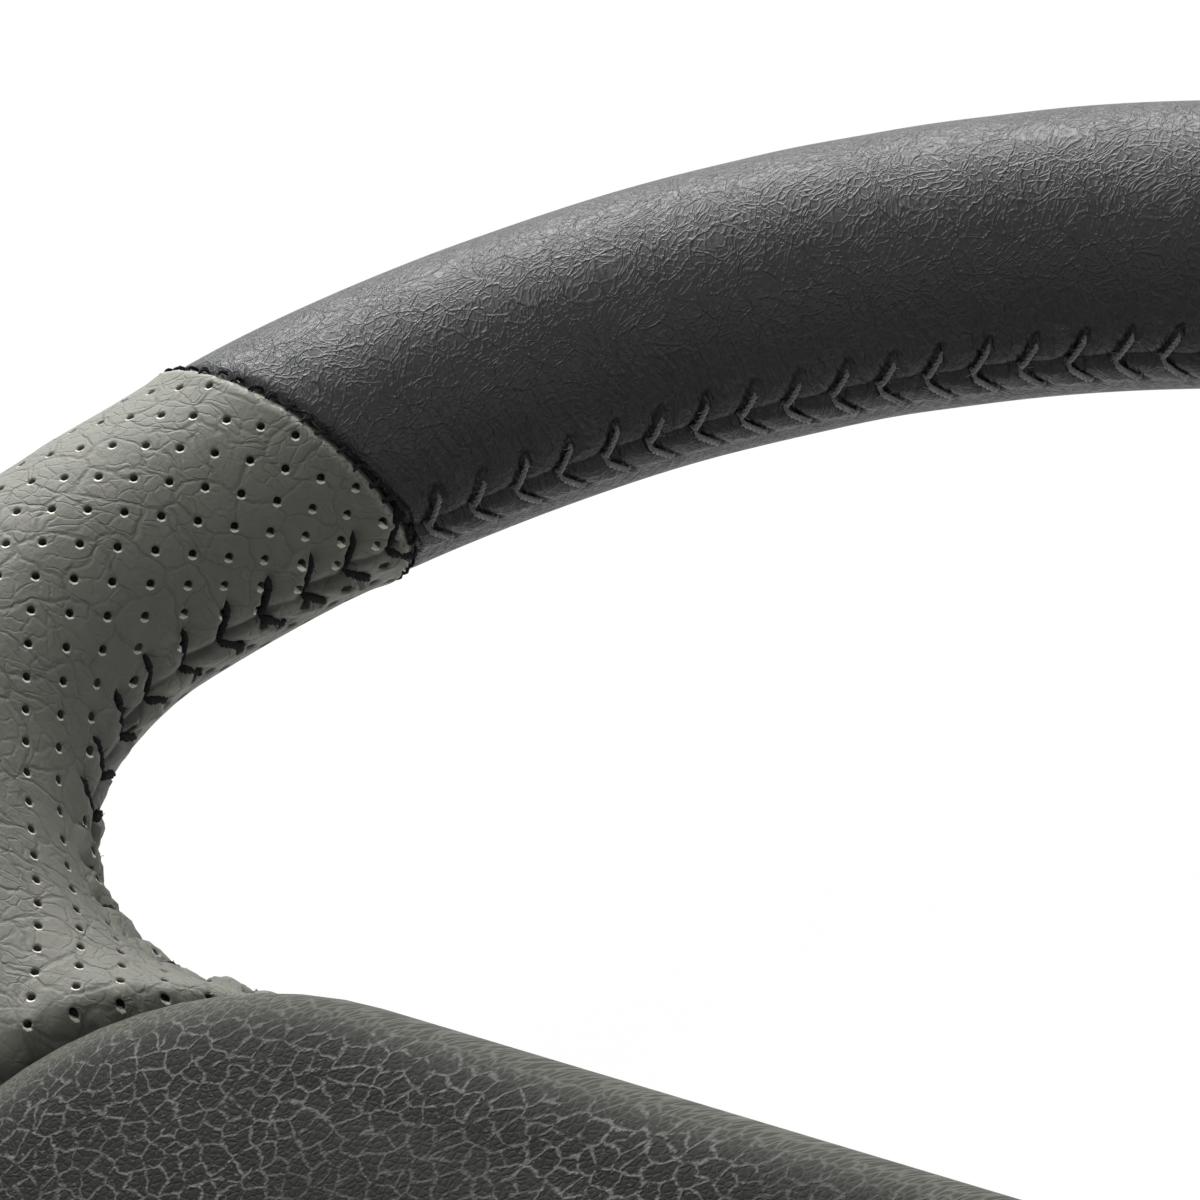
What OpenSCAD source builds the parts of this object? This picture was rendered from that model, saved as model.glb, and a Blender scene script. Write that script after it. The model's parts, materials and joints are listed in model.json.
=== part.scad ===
// Two-tone leather car steering wheel with four spokes and a pressing horn pad.
// It lies on its back: +Z points at the driver, +Y at twelve o'clock, +X at three o'clock.
// The origin is the middle of the hub's rear face, which seats on the steering column.

/* [Rim] */
// Outside diameter of the rim
rim_d = 375; // [360:1:390]
// Thickness of the rim over its leather
grip_d = 31; // [28:0.5:33]
// Height of the rim's middle plane above the hub's rear face
rim_height = 62; // [60:0.5:66]
// Thickness of the leather
leather_t = 1.3; // [1:0.1:1.6]
// Angle from twelve o'clock to the joint of the black and grey leather, at the seam
top_joint = 48.3; // [44:0.1:52]
// Angle from six o'clock to the lower joint, at the seam
bottom_joint = 28; // [26:0.5:30]
// How far each joint slants round the rim between the seam and the outside, in degrees
joint_slant = 5.5; // [0:0.5:7]

/* [Spokes] */
// Height of the upper spokes' top edge above the hub's axis
spoke_top = 47; // [45:0.5:50]
// Distance of the upper spokes' bottom edge below the hub's axis
spoke_bottom = 15; // [12:0.5:18]
// Angle of the lower spokes below the horizontal
lower_spoke_angle = 42; // [40:0.5:44]
// Width of the lower spokes
lower_spoke_w = 40; // [38:0.5:44]
// Half thickness of the spokes where the pad meets them
spoke_half_t = 10.5; // [9.5:0.1:12]
// Drop of the spokes' middle line at the pad
spoke_drop = 3; // [2:0.5:4]
// Radius of the upper opening's corners
upper_corner_r = 24; // [22:0.5:27]
// Radius of the side openings' corners
side_corner_r = 12; // [11:0.5:13]
// Radius of the lower opening's corners
lower_corner_r = 20; // [18:0.5:22]
// How far the leather reaches in under the pad along the spokes' top edge
leather_lap = 40; // [38:0.5:44]

/* [Stitching] */
// Pitch of the stitches along the seam
stitch_pitch = 5; // [4.5:0.1:7]
// Diameter of the thread
thread_d = 0.9; // [0.7:0.05:1.1]
// Reach of one leg of a stitch away from the seam
stitch_reach = 3.6; // [3:0.1:4.2]

/* [Pad] */
// Gap between the pad's sides and the inside of the rim
pad_gap = 30.5; // [28:0.5:33]
// Gap between the pad's edge and the edge of the spokes
pad_inset = 1; // [0.5:0.25:2]
// Radius of the pad's upper outer corners
pad_corner_r = 38; // [34:1:42]
// Height of the pad's rounded edge
pad_edge_h = 15; // [13:0.5:17]
// Width of the pad's rounded edge
pad_edge_w = 15; // [13:0.5:17]
// Rise of the pad's crown above its rounded edge
pad_crown = 3; // [1:0.5:5]
// Wall thickness of the pad
pad_wall = 3; // [2.5:0.1:3.5]
// Travel of the pad when the horn is pressed
horn_travel = 2; // [1.5:0.1:2.3]

/* [Hub] */
// Diameter of the hub's bore
bore_d = 17; // [15:0.1:20]
// Outside diameter of the steel hub
hub_d = 40; // [36:1:44]
// Length of the steel hub
hub_len = 31; // [30:0.5:32]
// Number of grooves in the splined half of the bore
spline_count = 24; // [18:1:36]
// Width across the armature's hub plate
plate_w = 104; // [103:1:110]
// Height across the armature's hub plate
plate_h = 62; // [60:1:66]
// Thickness of the armature's hub plate
plate_t = 7; // [6:0.5:8]
// Diameter of the rim's metal core
core_d = 10; // [8:0.5:11]
// Outside radius of the rear cover's collar
collar_r = 40; // [39:0.5:41.5]
// Wall thickness of the rear cover
cover_wall = 2.5; // [2:0.1:3]

/* [Hidden] */
$fn = 48;

BLACK = [0.09, 0.10, 0.10];
GREY = [0.36, 0.36, 0.34];
THREAD_GREY = [0.42, 0.43, 0.42];
THREAD_BLACK = [0.05, 0.06, 0.07];
PLASTIC = [0.13, 0.13, 0.13];
MAGNESIUM = [0.62, 0.63, 0.64];
STEEL = [0.55, 0.56, 0.58];
BRASS = [0.78, 0.62, 0.30];

// Rim
grip_r = grip_d / 2;
ring_r = rim_d / 2 - grip_r;
inner_r = ring_r - grip_r;
pad_half_w = inner_r - pad_gap;
leather_end = pad_half_w - leather_lap;
foam_gap = 0.6;
ring_foam_gap = 0.85;
core_gap = 0.7;
core_r = core_d / 2;
// Where the spokes reach the rim's full thickness, and where they are thinnest
blend_short = 4;
blend_out = ring_r - blend_short;
blend_in = pad_half_w;
// The hollow of the spokes' front under the pad
dip_depth = 8;
dip_in = 1;
dip_out = 5;
dip_reach = 12;

// Every height below is measured from the rim's middle plane
plate_top = hub_len - rim_height;
plate_low = plate_top - plate_t;

// Lower spoke: its direction, and the normal that points up from it
low_dir = [cos(lower_spoke_angle), -sin(lower_spoke_angle)];
low_up = [sin(lower_spoke_angle), cos(lower_spoke_angle)];
// Left side of the side openings, and top of the lower opening
side_open_x = 78;
lower_open_y = 76;

function clamp(x, lo, hi) = min(hi, max(lo, x));
function smooth(x) = let (t = clamp(x, 0, 1)) t * t * (3 - 2 * t);
function polar(r, a) = [r * cos(a), r * sin(a)];
function flip(p) = [-p[0], p[1]];
function reversed(l) = [for (i = [len(l) - 1:-1:0]) l[i]];

// Where a line p . n = d and the line q . m = e cross
function crossing(n, d, m, e) =
    let (k = n[0] * m[1] - n[1] * m[0])
    [(d * m[1] - e * n[1]) / k, (n[0] * e - m[0] * d) / k];

// The point of the line p . n = d on the circle of radius r that lies to the side of t
function on_circle(n, d, r, t) = n * d + t * sqrt(r * r - d * d);

// An arc from angle a to angle b, in n steps
function arc(r, a, b, n) = [for (i = [0:n]) polar(r, a + (b - a) * i / n)];
function angle_of(p) = atan2(p[1], p[0]);
function wrap(a) = a - 360 * round(a / 360);

// Each opening is a shape with sharp corners, grown by a corner radius. The shape is one arc
// about the hub's axis, [radius, from, to], and straight sides that end where the arc does.
upper_r = inner_r - upper_corner_r;
upper_y = spoke_top + upper_corner_r;
upper_end = asin(upper_y / upper_r);
upper_shape = [[upper_r, upper_end, 180 - upper_end],
    [polar(upper_r, 180 - upper_end), polar(upper_r, upper_end)]];

side_r = inner_r - side_corner_r;
side_y = -spoke_bottom - side_corner_r;
side_x = side_open_x + side_corner_r;
side_line = lower_spoke_w / 2 + side_corner_r;
side_end = asin(side_y / side_r);
side_low = angle_of(on_circle(low_up, side_line, side_r, low_dir));
side_shape = [[side_r, side_low, side_end], [
    polar(side_r, side_end), [side_x, side_y],
    crossing(low_up, side_line, [1, 0], side_x), polar(side_r, side_low)
]];
left_side_shape = [[side_r, 180 - side_end, 180 - side_low], [for (p = side_shape[1]) flip(p)]];

lower_r = inner_r - lower_corner_r;
lower_line = -lower_spoke_w / 2 - lower_corner_r;
lower_corner = crossing(low_up, lower_line, [0, 1], -lower_open_y - lower_corner_r);
lower_end = angle_of(on_circle(low_up, lower_line, lower_r, low_dir));
lower_shape = [[lower_r, -180 - lower_end, lower_end], [
    polar(lower_r, lower_end), lower_corner, flip(lower_corner), polar(lower_r, -180 - lower_end)
]];

OPENINGS = [
    [upper_shape, upper_corner_r], [side_shape, side_corner_r],
    [left_side_shape, side_corner_r], [lower_shape, lower_corner_r]
];

// The point nearest to p on a side from a to b, on open or closed sides l, and on an arc
function near_on(p, a, b) = a + (b - a) * clamp(((p - a) * (b - a)) / ((b - a) * (b - a)), 0, 1);
function near_side(l, n, p, i = 0, best = undef, far = 1e9) =
    i == n ? best :
    let (q = near_on(p, l[i], l[(i + 1) % len(l)]), d = norm(p - q))
    near_side(l, n, p, i + 1, d < far ? q : best, min(d, far));
function near_arc(c, p) =
    let (mid = (c[1] + c[2]) / 2, half = abs(c[2] - c[1]) / 2)
    polar(c[0], mid + clamp(wrap(angle_of(p) - mid), -half, half));

// Distance of p from the opening o, below zero inside it, with the way out of it
function from_opening(o, p) =
    let (
        a = near_arc(o[0][0], p),
        b = near_side(o[0][1], len(o[0][1]) - 1, p),
        q = norm(p - a) < norm(p - b) ? a : b,
        d = norm(p - q)
    )
    [d - o[1], (p - q) / max(d, 1e-6)];
function pick(l, i = 0, best = undef) =
    i == len(l) ? best : pick(l, i + 1, best == undef || l[i][0] < best[0] ? l[i] : best);
function from_openings(p) = pick([for (o = OPENINGS) from_opening(o, p)]);

// An outline with its corners [x, y, radius] rounded
function fillet(a, b, c, n) =
    let (
        u = (a - [b[0], b[1]]) / norm(a - [b[0], b[1]]),
        v = (c - [b[0], b[1]]) / norm(c - [b[0], b[1]]),
        half = acos(clamp(u * v, -1, 1)) / 2,
        m = [b[0], b[1]] + (u + v) / norm(u + v) * b[2] / sin(half),
        s = [b[0], b[1]] + u * b[2] / tan(half),
        e = [b[0], b[1]] + v * b[2] / tan(half),
        from = angle_of(s - m),
        turn = angle_of(e - m) - from,
        way = turn > 180 ? turn - 360 : turn < -180 ? turn + 360 : turn
    )
    [for (i = [0:n]) m + polar(b[2], from + way * i / n)];
function xy(p) = [p[0], p[1]];
// A closed outline with points added, so that no side is longer than step
function divided(l, step) = [for (i = [0:len(l) - 1])
    let (a = l[i], b = l[(i + 1) % len(l)], n = ceil(norm(b - a) / step))
    each [for (k = [0:n - 1]) a + (b - a) * k / n]];
function rounded(l, n) =
    [for (i = [0:len(l) - 1]) each fillet(
        xy(l[(i + len(l) - 1) % len(l)]), l[i], xy(l[(i + 1) % len(l)]), n)];

// The outline of the pad, or of the rear cover, whose wings end nearer the hub
pad_tip_gap = 34.5;
pad_tip = inner_r - pad_tip_gap;
pad_side_corner_r = 20;
tip_flat = 2;
pad_tip_corner_r = lower_spoke_w / 2 - tip_flat;
function wing_outline(half_w, corner_r, side_r, tip, tip_r, inset) =
    let (
        top = spoke_top - inset,
        low = -spoke_bottom + inset,
        line = lower_spoke_w / 2 - inset,
        side_x = side_open_x - inset,
        bottom = -lower_open_y + inset,
        right = [
            [half_w, top, corner_r], [half_w, low, side_r], [side_x, low, side_corner_r],
            concat(crossing(low_up, line, [1, 0], side_x), side_corner_r),
            concat(low_dir * tip + low_up * line, tip_r), concat(low_dir * tip - low_up * line, tip_r),
            concat(crossing(low_up, -line, [0, 1], bottom), lower_corner_r)
        ],
        left = [for (p = reversed(right)) [-p[0], p[1], p[2]]]
    )
    concat(right, left);
CORNER_STEPS = 4;
SIDE_STEP = 20;
pad_outline = divided(rounded(wing_outline(pad_half_w, pad_corner_r, pad_side_corner_r,
    pad_tip, pad_tip_corner_r, pad_inset), CORNER_STEPS), SIDE_STEP);

// Distance of p from an outline that runs clockwise, below zero inside it
function side_of(l, p, i = 0, inside = false) =
    i == len(l) ? inside :
    let (a = l[i], b = l[(i + 1) % len(l)],
        hit = (a[1] > p[1]) != (b[1] > p[1])
            && p[0] < (b[0] - a[0]) * (p[1] - a[1]) / (b[1] - a[1]) + a[0])
    side_of(l, p, i + 1, hit ? !inside : inside);
function from_outline(l, p) = norm(p - near_side(l, len(l), p)) * (side_of(l, p) ? -1 : 1);

// Shape of the spokes and rim: half thickness, middle line, and hollow under the pad
function spoke_share(p) = 1 - smooth((norm(p) - blend_in) / (blend_out - blend_in));
function half_t(p) = grip_r + (spoke_half_t - grip_r) * spoke_share(p);
function middle(p) = -spoke_drop * spoke_share(p);
function hollow(p) =
    norm(p) > pad_half_w + dip_reach ? 0 :
    dip_depth * (1 - smooth((from_outline(pad_outline, p) + dip_in) / (dip_in + dip_out)));

// A point of the skin. q is its place on the skin laid flat round the crest lines, face is 1 on
// the driver's side and -1 behind, and t is how deep it lies under the leather's outside.
// A point past its crest line bends down by bend degrees, and by a right angle at a seam.
AT_SEAM = 88;
function skin_point(plan, bend, face, t) =
    let (drop = bend > AT_SEAM ? 0 : cos(bend))
    [plan[0], plan[1], rim_height + middle(plan)
        + face * (half_t(plan) - t) * drop - (face > 0 ? hollow(plan) * drop : 0)];
function bend_of(past) = let (b = past / grip_r * 180 / PI) b > AT_SEAM ? 90 : b;
function skin(q, face, t) =
    let (rho = norm(q))
    rho >= ring_r
        ? let (bend = bend_of(rho - ring_r))
            skin_point(q / rho * (ring_r + (grip_r - t) * sin(bend)), bend, face, t)
        : let (o = from_openings(q), past = grip_r - o[0])
            past <= 0 ? skin_point(q, 0, face, t)
            : let (bend = bend_of(past))
                skin_point(q + o[1] * (past - (grip_r - t) * sin(bend)), bend, face, t);

// Laid flat, the skin reaches this far past its crest lines, on the rim and at the seams
flat_reach = grip_r * PI / 2;
flat_inner_r = ring_r - flat_reach;
flat_outer_r = ring_r + flat_reach;
seam_shift = flat_reach - grip_r;

// Angles of the rim's joints from three o'clock, where the skin lies t deep at a flat radius rho.
// In plan a joint is a straight line that passes the hub's axis at joint_offset.
joint_chord = norm(polar(rim_d / 2, joint_slant) - [inner_r, 0]);
joint_offset = inner_r * rim_d / 2 * sin(joint_slant) / joint_chord;
function joint_lean(rho, t) =
    let (plan = ring_r + (grip_r - t) * sin((rho - ring_r) / grip_r * 180 / PI))
    acos(joint_offset / plan) - acos(joint_offset / inner_r);
function upper_joint_at(rho, t = 0) = 90 + top_joint + joint_lean(rho, t);
function lower_joint_at(rho, t = 0) = 270 - bottom_joint - joint_lean(rho, t);

// The seam round an opening's corner c, laid flat, from the rim to where its side lies at angle to
function corner_seam(c, r, to) = let (from = angle_of(c), turn = wrap(to - from))
    [for (i = [0:FILLET_STEPS]) c + polar(r - seam_shift, from + turn * i / FILLET_STEPS)];

// Places along an open line laid flat, evenly spread over its real length
function lengths(l, i = 0, run = 0, out = []) =
    i == len(l) - 1 ? concat(out, run)
    : lengths(l, i + 1, run + norm(l[i + 1] - l[i]), concat(out, run));
function place_at(l, s, d, i = 0) =
    i >= len(l) - 2 || s[i + 1] >= d
        ? l[i] + (l[i + 1] - l[i]) * clamp((d - s[i]) / max(s[i + 1] - s[i], 1e-9), 0, 1)
        : place_at(l, s, d, i + 1);
function real_lengths(l) = lengths([for (q = l) xy(skin(q, 1, 0))]);
function spread(l, n) = let (s = real_lengths(l), d = s[len(l) - 1])
    [for (i = [0:n]) place_at(l, s, d * i / n)];

// A patch of skin between four sides laid flat. near and far run the same way, and so do left and right.
function coons(near, far, left, right) =
    let (n = len(near) - 1, m = len(left) - 1)
    [for (j = [0:m]) [for (i = [0:n])
        let (u = i / n, v = j / m)
        near[i] * (1 - v) + far[i] * v + left[j] * (1 - u) + right[j] * u
        - near[0] * (1 - u) * (1 - v) - near[n] * u * (1 - v) - far[0] * (1 - u) * v - far[n] * u * v]];

// Grids of the left grip's skin laid flat: the rim from joint to joint, and its two spokes
ROUND_STEPS = 8;
SPOKE_STEPS = 18;
FILLET_STEPS = 12;

// Where each spoke's edges leave the rim, as angles from three o'clock
upper_leave = 180 - upper_end;
side_upper_leave = 180 - side_end;
side_lower_leave = 180 - side_low;
lower_leave = 180 - lower_end;

// The seams round the four corners of the left spokes, from the rim inwards
upper_corner_seam = corner_seam(polar(upper_r, upper_leave), upper_corner_r, -90);
side_upper_seam = corner_seam(polar(side_r, side_upper_leave), side_corner_r, 90);
side_lower_seam = corner_seam(polar(side_r, side_lower_leave), side_corner_r, lower_spoke_angle - 90);
lower_corner_seam = corner_seam(polar(lower_r, lower_leave), lower_corner_r, lower_spoke_angle + 90);

function skin_angle(a, b, i, n) = a + (b - a) * i / n;
// The rim's angles: the spoke stretches hold whole steps, so the spokes' grids meet the rim's
UPPER_ARC_STEPS = 8;
LOWER_ARC_STEPS = 8;
FREE_STEPS = 4;
function rim_angles(start, finish) = concat(
    [for (i = [0:FREE_STEPS - 1]) skin_angle(start, upper_leave, i, FREE_STEPS)],
    [for (i = [0:UPPER_ARC_STEPS - 1]) skin_angle(upper_leave, side_upper_leave, i, UPPER_ARC_STEPS)],
    [for (i = [0:FREE_STEPS - 1]) skin_angle(side_upper_leave, side_lower_leave, i, FREE_STEPS)],
    [for (i = [0:LOWER_ARC_STEPS - 1]) skin_angle(side_lower_leave, lower_leave, i, LOWER_ARC_STEPS)],
    [for (i = [0:FREE_STEPS]) skin_angle(lower_leave, finish, i, FREE_STEPS)]
);
// A row at flat radius rho. Its angles lean more and more, like the joints, towards its two ends.
function rim_row(rho, t) =
    let (
        start = upper_joint_at(flat_inner_r, t),
        finish = lower_joint_at(flat_inner_r, t),
        lean = upper_joint_at(rho, t) - start
    )
    [for (a = rim_angles(start, finish)) let (share = (a - start) / (finish - start))
        polar(rho, a + lean * (1 - 2 * share))];
function rim_grid(t) = [for (j = [0:ROUND_STEPS])
    rim_row(flat_outer_r + (flat_inner_r - flat_outer_r) * j / ROUND_STEPS, t)];

upper_first = FREE_STEPS;
upper_last = upper_first + UPPER_ARC_STEPS;
lower_first = upper_last + FREE_STEPS;
lower_last = lower_first + LOWER_ARC_STEPS;

// The skin ends in a straight line across each spoke, just outside the corners of the openings
END_CLEAR = 1;
function along(p) = p * low_dir;
left_low_dir = flip(low_dir);
left_low_up = flip(low_up);
lower_end_top = along(crossing(low_up, side_line, [1, 0], side_x)) + END_CLEAR;
lower_end_bottom = along(lower_corner) + END_CLEAR;
lower_edge = lower_spoke_w / 2 + seam_shift;
function line_between(a, b, n) = [for (i = [0:n]) a + (b - a) * i / n];
upper_far = line_between([-leather_end, spoke_top + seam_shift],
    [-side_x - END_CLEAR, -spoke_bottom - seam_shift], UPPER_ARC_STEPS);
lower_far = line_between(left_low_dir * lower_end_top + left_low_up * lower_edge,
    left_low_dir * lower_end_bottom - left_low_up * lower_edge, LOWER_ARC_STEPS);
function slice(l, a, b) = [for (i = [a:b]) l[i]];
inner_row = rim_grid(0)[ROUND_STEPS];
function spoke_grid(near, far, seam_a, seam_b) =
    coons(near, far,
        spread(concat(seam_a, [far[0]]), SPOKE_STEPS),
        spread(concat(seam_b, [far[len(far) - 1]]), SPOKE_STEPS));
upper_grid = spoke_grid(slice(inner_row, upper_first, upper_last), upper_far,
    upper_corner_seam, side_upper_seam);
lower_grid = spoke_grid(slice(inner_row, lower_first, lower_last), lower_far,
    side_lower_seam, lower_corner_seam);

// Triangles of a grid of n by m cells whose points start at first
function grid_faces(first, n, m, turned) =
    [for (j = [0:m - 1]) for (i = [0:n - 1])
        let (a = first + j * (n + 1) + i, b = a + 1, c = a + n + 1, d = c + 1)
        each turned ? [[a, b, d], [a, d, c]] : [[a, d, b], [a, c, d]]];
function flat_list(g) = [for (row = g) each row];

// Solid between two sets of grids: outer face and inner face, front and back, closed by strips
function strip_faces(a, b, turned) =
    [for (i = [0:len(a) - 2])
        each turned ? [[a[i], b[i + 1], b[i]], [a[i], a[i + 1], b[i + 1]]]
            : [[a[i], b[i], b[i + 1]], [a[i], b[i + 1], a[i + 1]]]];
RIM_N = len(inner_row) - 1;
rim_count = (RIM_N + 1) * (ROUND_STEPS + 1);
upper_count = (UPPER_ARC_STEPS + 1) * (SPOKE_STEPS + 1);
lower_count = (LOWER_ARC_STEPS + 1) * (SPOKE_STEPS + 1);
sheet_count = rim_count + upper_count + lower_count;
function sheet(face, t) =
    let (flat = concat(flat_list(rim_grid(t)), flat_list(upper_grid), flat_list(lower_grid)))
    [for (q = flat) skin(q, face, t)];
function sheet_faces(first, turned) = concat(
    grid_faces(first, RIM_N, ROUND_STEPS, turned),
    grid_faces(first + rim_count, UPPER_ARC_STEPS, SPOKE_STEPS, turned),
    grid_faces(first + rim_count + upper_count, LOWER_ARC_STEPS, SPOKE_STEPS, turned));
// The open ends of a sheet: its two joints and the ends of its two spokes
function end_lines(first) = [
    [for (j = [0:ROUND_STEPS]) first + j * (RIM_N + 1)],
    [for (j = [ROUND_STEPS:-1:0]) first + j * (RIM_N + 1) + RIM_N],
    [for (i = [0:UPPER_ARC_STEPS]) first + rim_count + SPOKE_STEPS * (UPPER_ARC_STEPS + 1) + i],
    [for (i = [0:LOWER_ARC_STEPS])
        first + rim_count + upper_count + SPOKE_STEPS * (LOWER_ARC_STEPS + 1) + i]
];

// Leather of the left grip, one skin over the rim and both of its spokes
module grip_skin() {
    points = concat(sheet(1, 0), sheet(-1, 0), sheet(1, leather_t), sheet(-1, leather_t));
    front = end_lines(0);
    back = end_lines(sheet_count);
    front_in = end_lines(2 * sheet_count);
    back_in = end_lines(3 * sheet_count);
    faces = concat(
        sheet_faces(0, false), sheet_faces(sheet_count, true),
        sheet_faces(2 * sheet_count, true), sheet_faces(3 * sheet_count, false),
        [for (k = [0:3]) each strip_faces(front[k], front_in[k], false)],
        [for (k = [0:3]) each strip_faces(back[k], back_in[k], true)]
    );
    polyhedron(points, faces);
}

// Foam under the left grip, closed at its two joints and at the ends of its spokes
module grip_foam() {
    t = leather_t + foam_gap;
    points = concat(sheet(1, t), sheet(-1, t));
    front = end_lines(0);
    back = end_lines(sheet_count);
    faces = concat(
        sheet_faces(0, false), sheet_faces(sheet_count, true),
        [for (k = [0:3]) each strip_faces(front[k], back[k], false)]
    );
    polyhedron(points, faces);
}

// A slice of the rim in plan, between its two joints, with slanted ends
SLICE_STEPS = 12;
slice_reach = 6;
joint_gap = 0.12;
far_r = rim_d / 2 + slice_reach;
near_r = inner_r - slice_reach;
function joint_at(r) = acos(joint_offset / r) - acos(joint_offset / inner_r);
module rim_slice(middle_angle, half, grow) {
    translate([0, 0, rim_height - grip_d]) linear_extrude(2 * grip_d) rotate(middle_angle) polygon(concat(
        arc(far_r, -half - grow - joint_at(far_r), half + grow + joint_at(far_r), SLICE_STEPS),
        arc(near_r, half + grow + joint_at(near_r), -half - grow - joint_at(near_r), SLICE_STEPS)
    ));
}
RIM_FN = 96;
module ring_of(r, round_fn = $fn, ring_fn = RIM_FN) {
    translate([0, 0, rim_height]) rotate_extrude($fn = ring_fn)
        translate([ring_r, 0]) circle(r, $fn = round_fn);
}
module black_panel(middle_angle, half) {
    color(BLACK) intersection() {
        difference() {
            ring_of(grip_r);
            ring_of(grip_r - leather_t);
        }
        rim_slice(middle_angle, half, -joint_gap);
    }
}
module leather_top() { black_panel(90, top_joint); }
module leather_bottom() { black_panel(270, bottom_joint); }
module leather_grip_left() { color(GREY) grip_skin(); }
module leather_grip_right() { color(GREY) mirror([1, 0, 0]) grip_skin(); }

// Guide bolts at the corners of the hub plate, and the springs round them
bolt_edge_x = 8;
bolt_edge_y = 9;
bolt_x = plate_w / 2 - bolt_edge_x;
bolt_y = plate_h / 2 - bolt_edge_y;
bolt_r = 3;
spring_r = 4.8;
spring_wire_r = 0.7;

// Arms of the armature, which rise from the hub plate to the rim's core. Their heights are
// measured from the rim's middle plane.
arm_t = 6;
arm_top_end = -5;
arm_gap = 0.3;
upper_arm_w = 24;
lower_arm_w = 20;
upper_arm_y = (spoke_top - spoke_bottom) / 2;
upper_arm_start = 40;
lower_arm_start = 30;
arm_clear = 1.2;
// How much lower than the plate's faces the arms leave it
arm_inset = 0.5;
upper_arm_rise = bolt_x + spring_r + spring_wire_r + arm_clear;
lower_arm_rise = along([bolt_x, -bolt_y]) + spring_r + spring_wire_r + arm_clear;
module left_arms() {
    translate([0, upper_arm_y, 0]) mirror([1, 0, 0]) arm(upper_arm_start, upper_arm_rise, upper_arm_w);
    mirror([1, 0, 0]) rotate(-lower_spoke_angle) arm(lower_arm_start, lower_arm_rise, lower_arm_w);
}
module arm(start, rise, width) {
    translate([0, 0, rim_height]) rotate([90, 0, 0]) linear_extrude(width, center = true) polygon([
        [start, plate_low + arm_inset], [rise, plate_low + arm_inset], [leather_end, arm_top_end - arm_t],
        [ring_r, -arm_t / 2], [ring_r, arm_t / 2],
        [leather_end, arm_top_end], [rise, plate_top - arm_inset], [start, plate_top - arm_inset]
    ]);
}

// Channel of the foam round one arm, in two tapered stretches that start short of the foam's end
channel_over = 2;
section_t = 0.1;
module arm_section(x, width, top) {
    translate([x, 0, rim_height + top - arm_t / 2])
        cube([section_t, width + 2 * arm_gap, arm_t + 2 * arm_gap], center = true);
}
module arm_channel(width) {
    slope = (arm_t / 2 - arm_top_end) / (ring_r - leather_end);
    half_way = (leather_end + ring_r) / 2;
    hull() {
        arm_section(leather_end - channel_over, width, arm_top_end - channel_over * slope);
        arm_section(half_way, width, arm_top_end + (half_way - leather_end) * slope);
    }
    hull() {
        arm_section(half_way, width, arm_top_end + (half_way - leather_end) * slope);
        arm_section(ring_r, width, arm_t / 2);
    }
}
module left_channels() {
    translate([0, upper_arm_y, 0]) mirror([1, 0, 0]) arm_channel(upper_arm_w);
    mirror([1, 0, 0]) rotate(-lower_spoke_angle) arm_channel(lower_arm_w);
}

cover_screw_out = 6;
cover_screw_x = collar_r + cover_screw_out;
cover_screw_r = 2;
cover_screw_floor = 2;
plate_corner_r = 12;
// How far a cut runs past the face that it opens
cut = 1;
module at_corners(x, y) { for (i = [-1, 1], j = [-1, 1]) translate([i * x, j * y, 0]) children(); }
module at_sides(x, y = 0) { for (i = [-1, 1]) translate([i * x, y, 0]) children(); }
module rounded_plate(w, h, r) {
    square([w - 2 * r, h], center = true);
    square([w, h - 2 * r], center = true);
    at_corners(w / 2 - r, h / 2 - r) circle(r);
}
plate_z = hub_len - plate_t;
carrier_clear = 1.5;
carrier_r = collar_r - cover_wall - carrier_clear;
lead_from_edge = 3;
lead_x = carrier_r - lead_from_edge;
lead_r = 0.9;
lead_hole_r = 1.5;
module armature() {
    color(MAGNESIUM) difference() {
        union() {
            translate([0, 0, plate_z]) linear_extrude(plate_t)
                rounded_plate(plate_w, plate_h, plate_corner_r);
            left_arms();
            mirror([1, 0, 0]) left_arms();
            ring_of(core_r);
        }
        cylinder(r = hub_d / 2, h = rim_height);
        translate([0, 0, plate_z - cut]) {
            at_corners(bolt_x, bolt_y) cylinder(r = bolt_r, h = plate_t + 2 * cut);
            at_sides(cover_screw_x) cylinder(r = cover_screw_r, h = plate_t + cut - cover_screw_floor);
            translate([lead_x, 0, 0]) cylinder(r = lead_hole_r, h = plate_t + 2 * cut);
        }
    }
}

// Foam moulded in one piece round the core and out along the spokes. The foam of the black parts
// of the rim runs into the grips' foam by foam_lap degrees.
foam_lap = 1;
FOAM_FN = 14;
CHANNEL_FN = 8;
FOAM_RING_FN = 60;
// The foam's left half. Both halves meet at twelve and at six o'clock.
module half_foam() {
    color([0.2, 0.2, 0.2]) difference() {
        union() {
            grip_foam();
            intersection() {
                ring_of(grip_r - leather_t - ring_foam_gap, FOAM_FN, FOAM_RING_FN);
                union() {
                    rim_slice(90, top_joint, foam_lap);
                    rim_slice(270, bottom_joint, foam_lap);
                }
                translate([-rim_d, -rim_d, rim_height - grip_d]) cube([rim_d, 2 * rim_d, 2 * grip_d]);
            }
        }
        ring_of(core_r + core_gap, CHANNEL_FN, FOAM_RING_FN);
        left_channels();
    }
}
module rim_foam_left() { half_foam(); }
module rim_foam_right() { mirror([1, 0, 0]) half_foam(); }

// Stitches. Each has two legs, one on the front and one behind, that meet at the seam like a V.
STITCH_FN = 13;
foot_out = 0.6;
stitch_lean = 0.42;
thread_clear = 0.3;
module leg(a, b) {
    v = b - a;
    translate(a) rotate([0, acos(v[2] / norm(v)), atan2(v[1], v[0])])
        cylinder(d = thread_d, h = norm(v), $fn = STITCH_FN);
}
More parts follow.
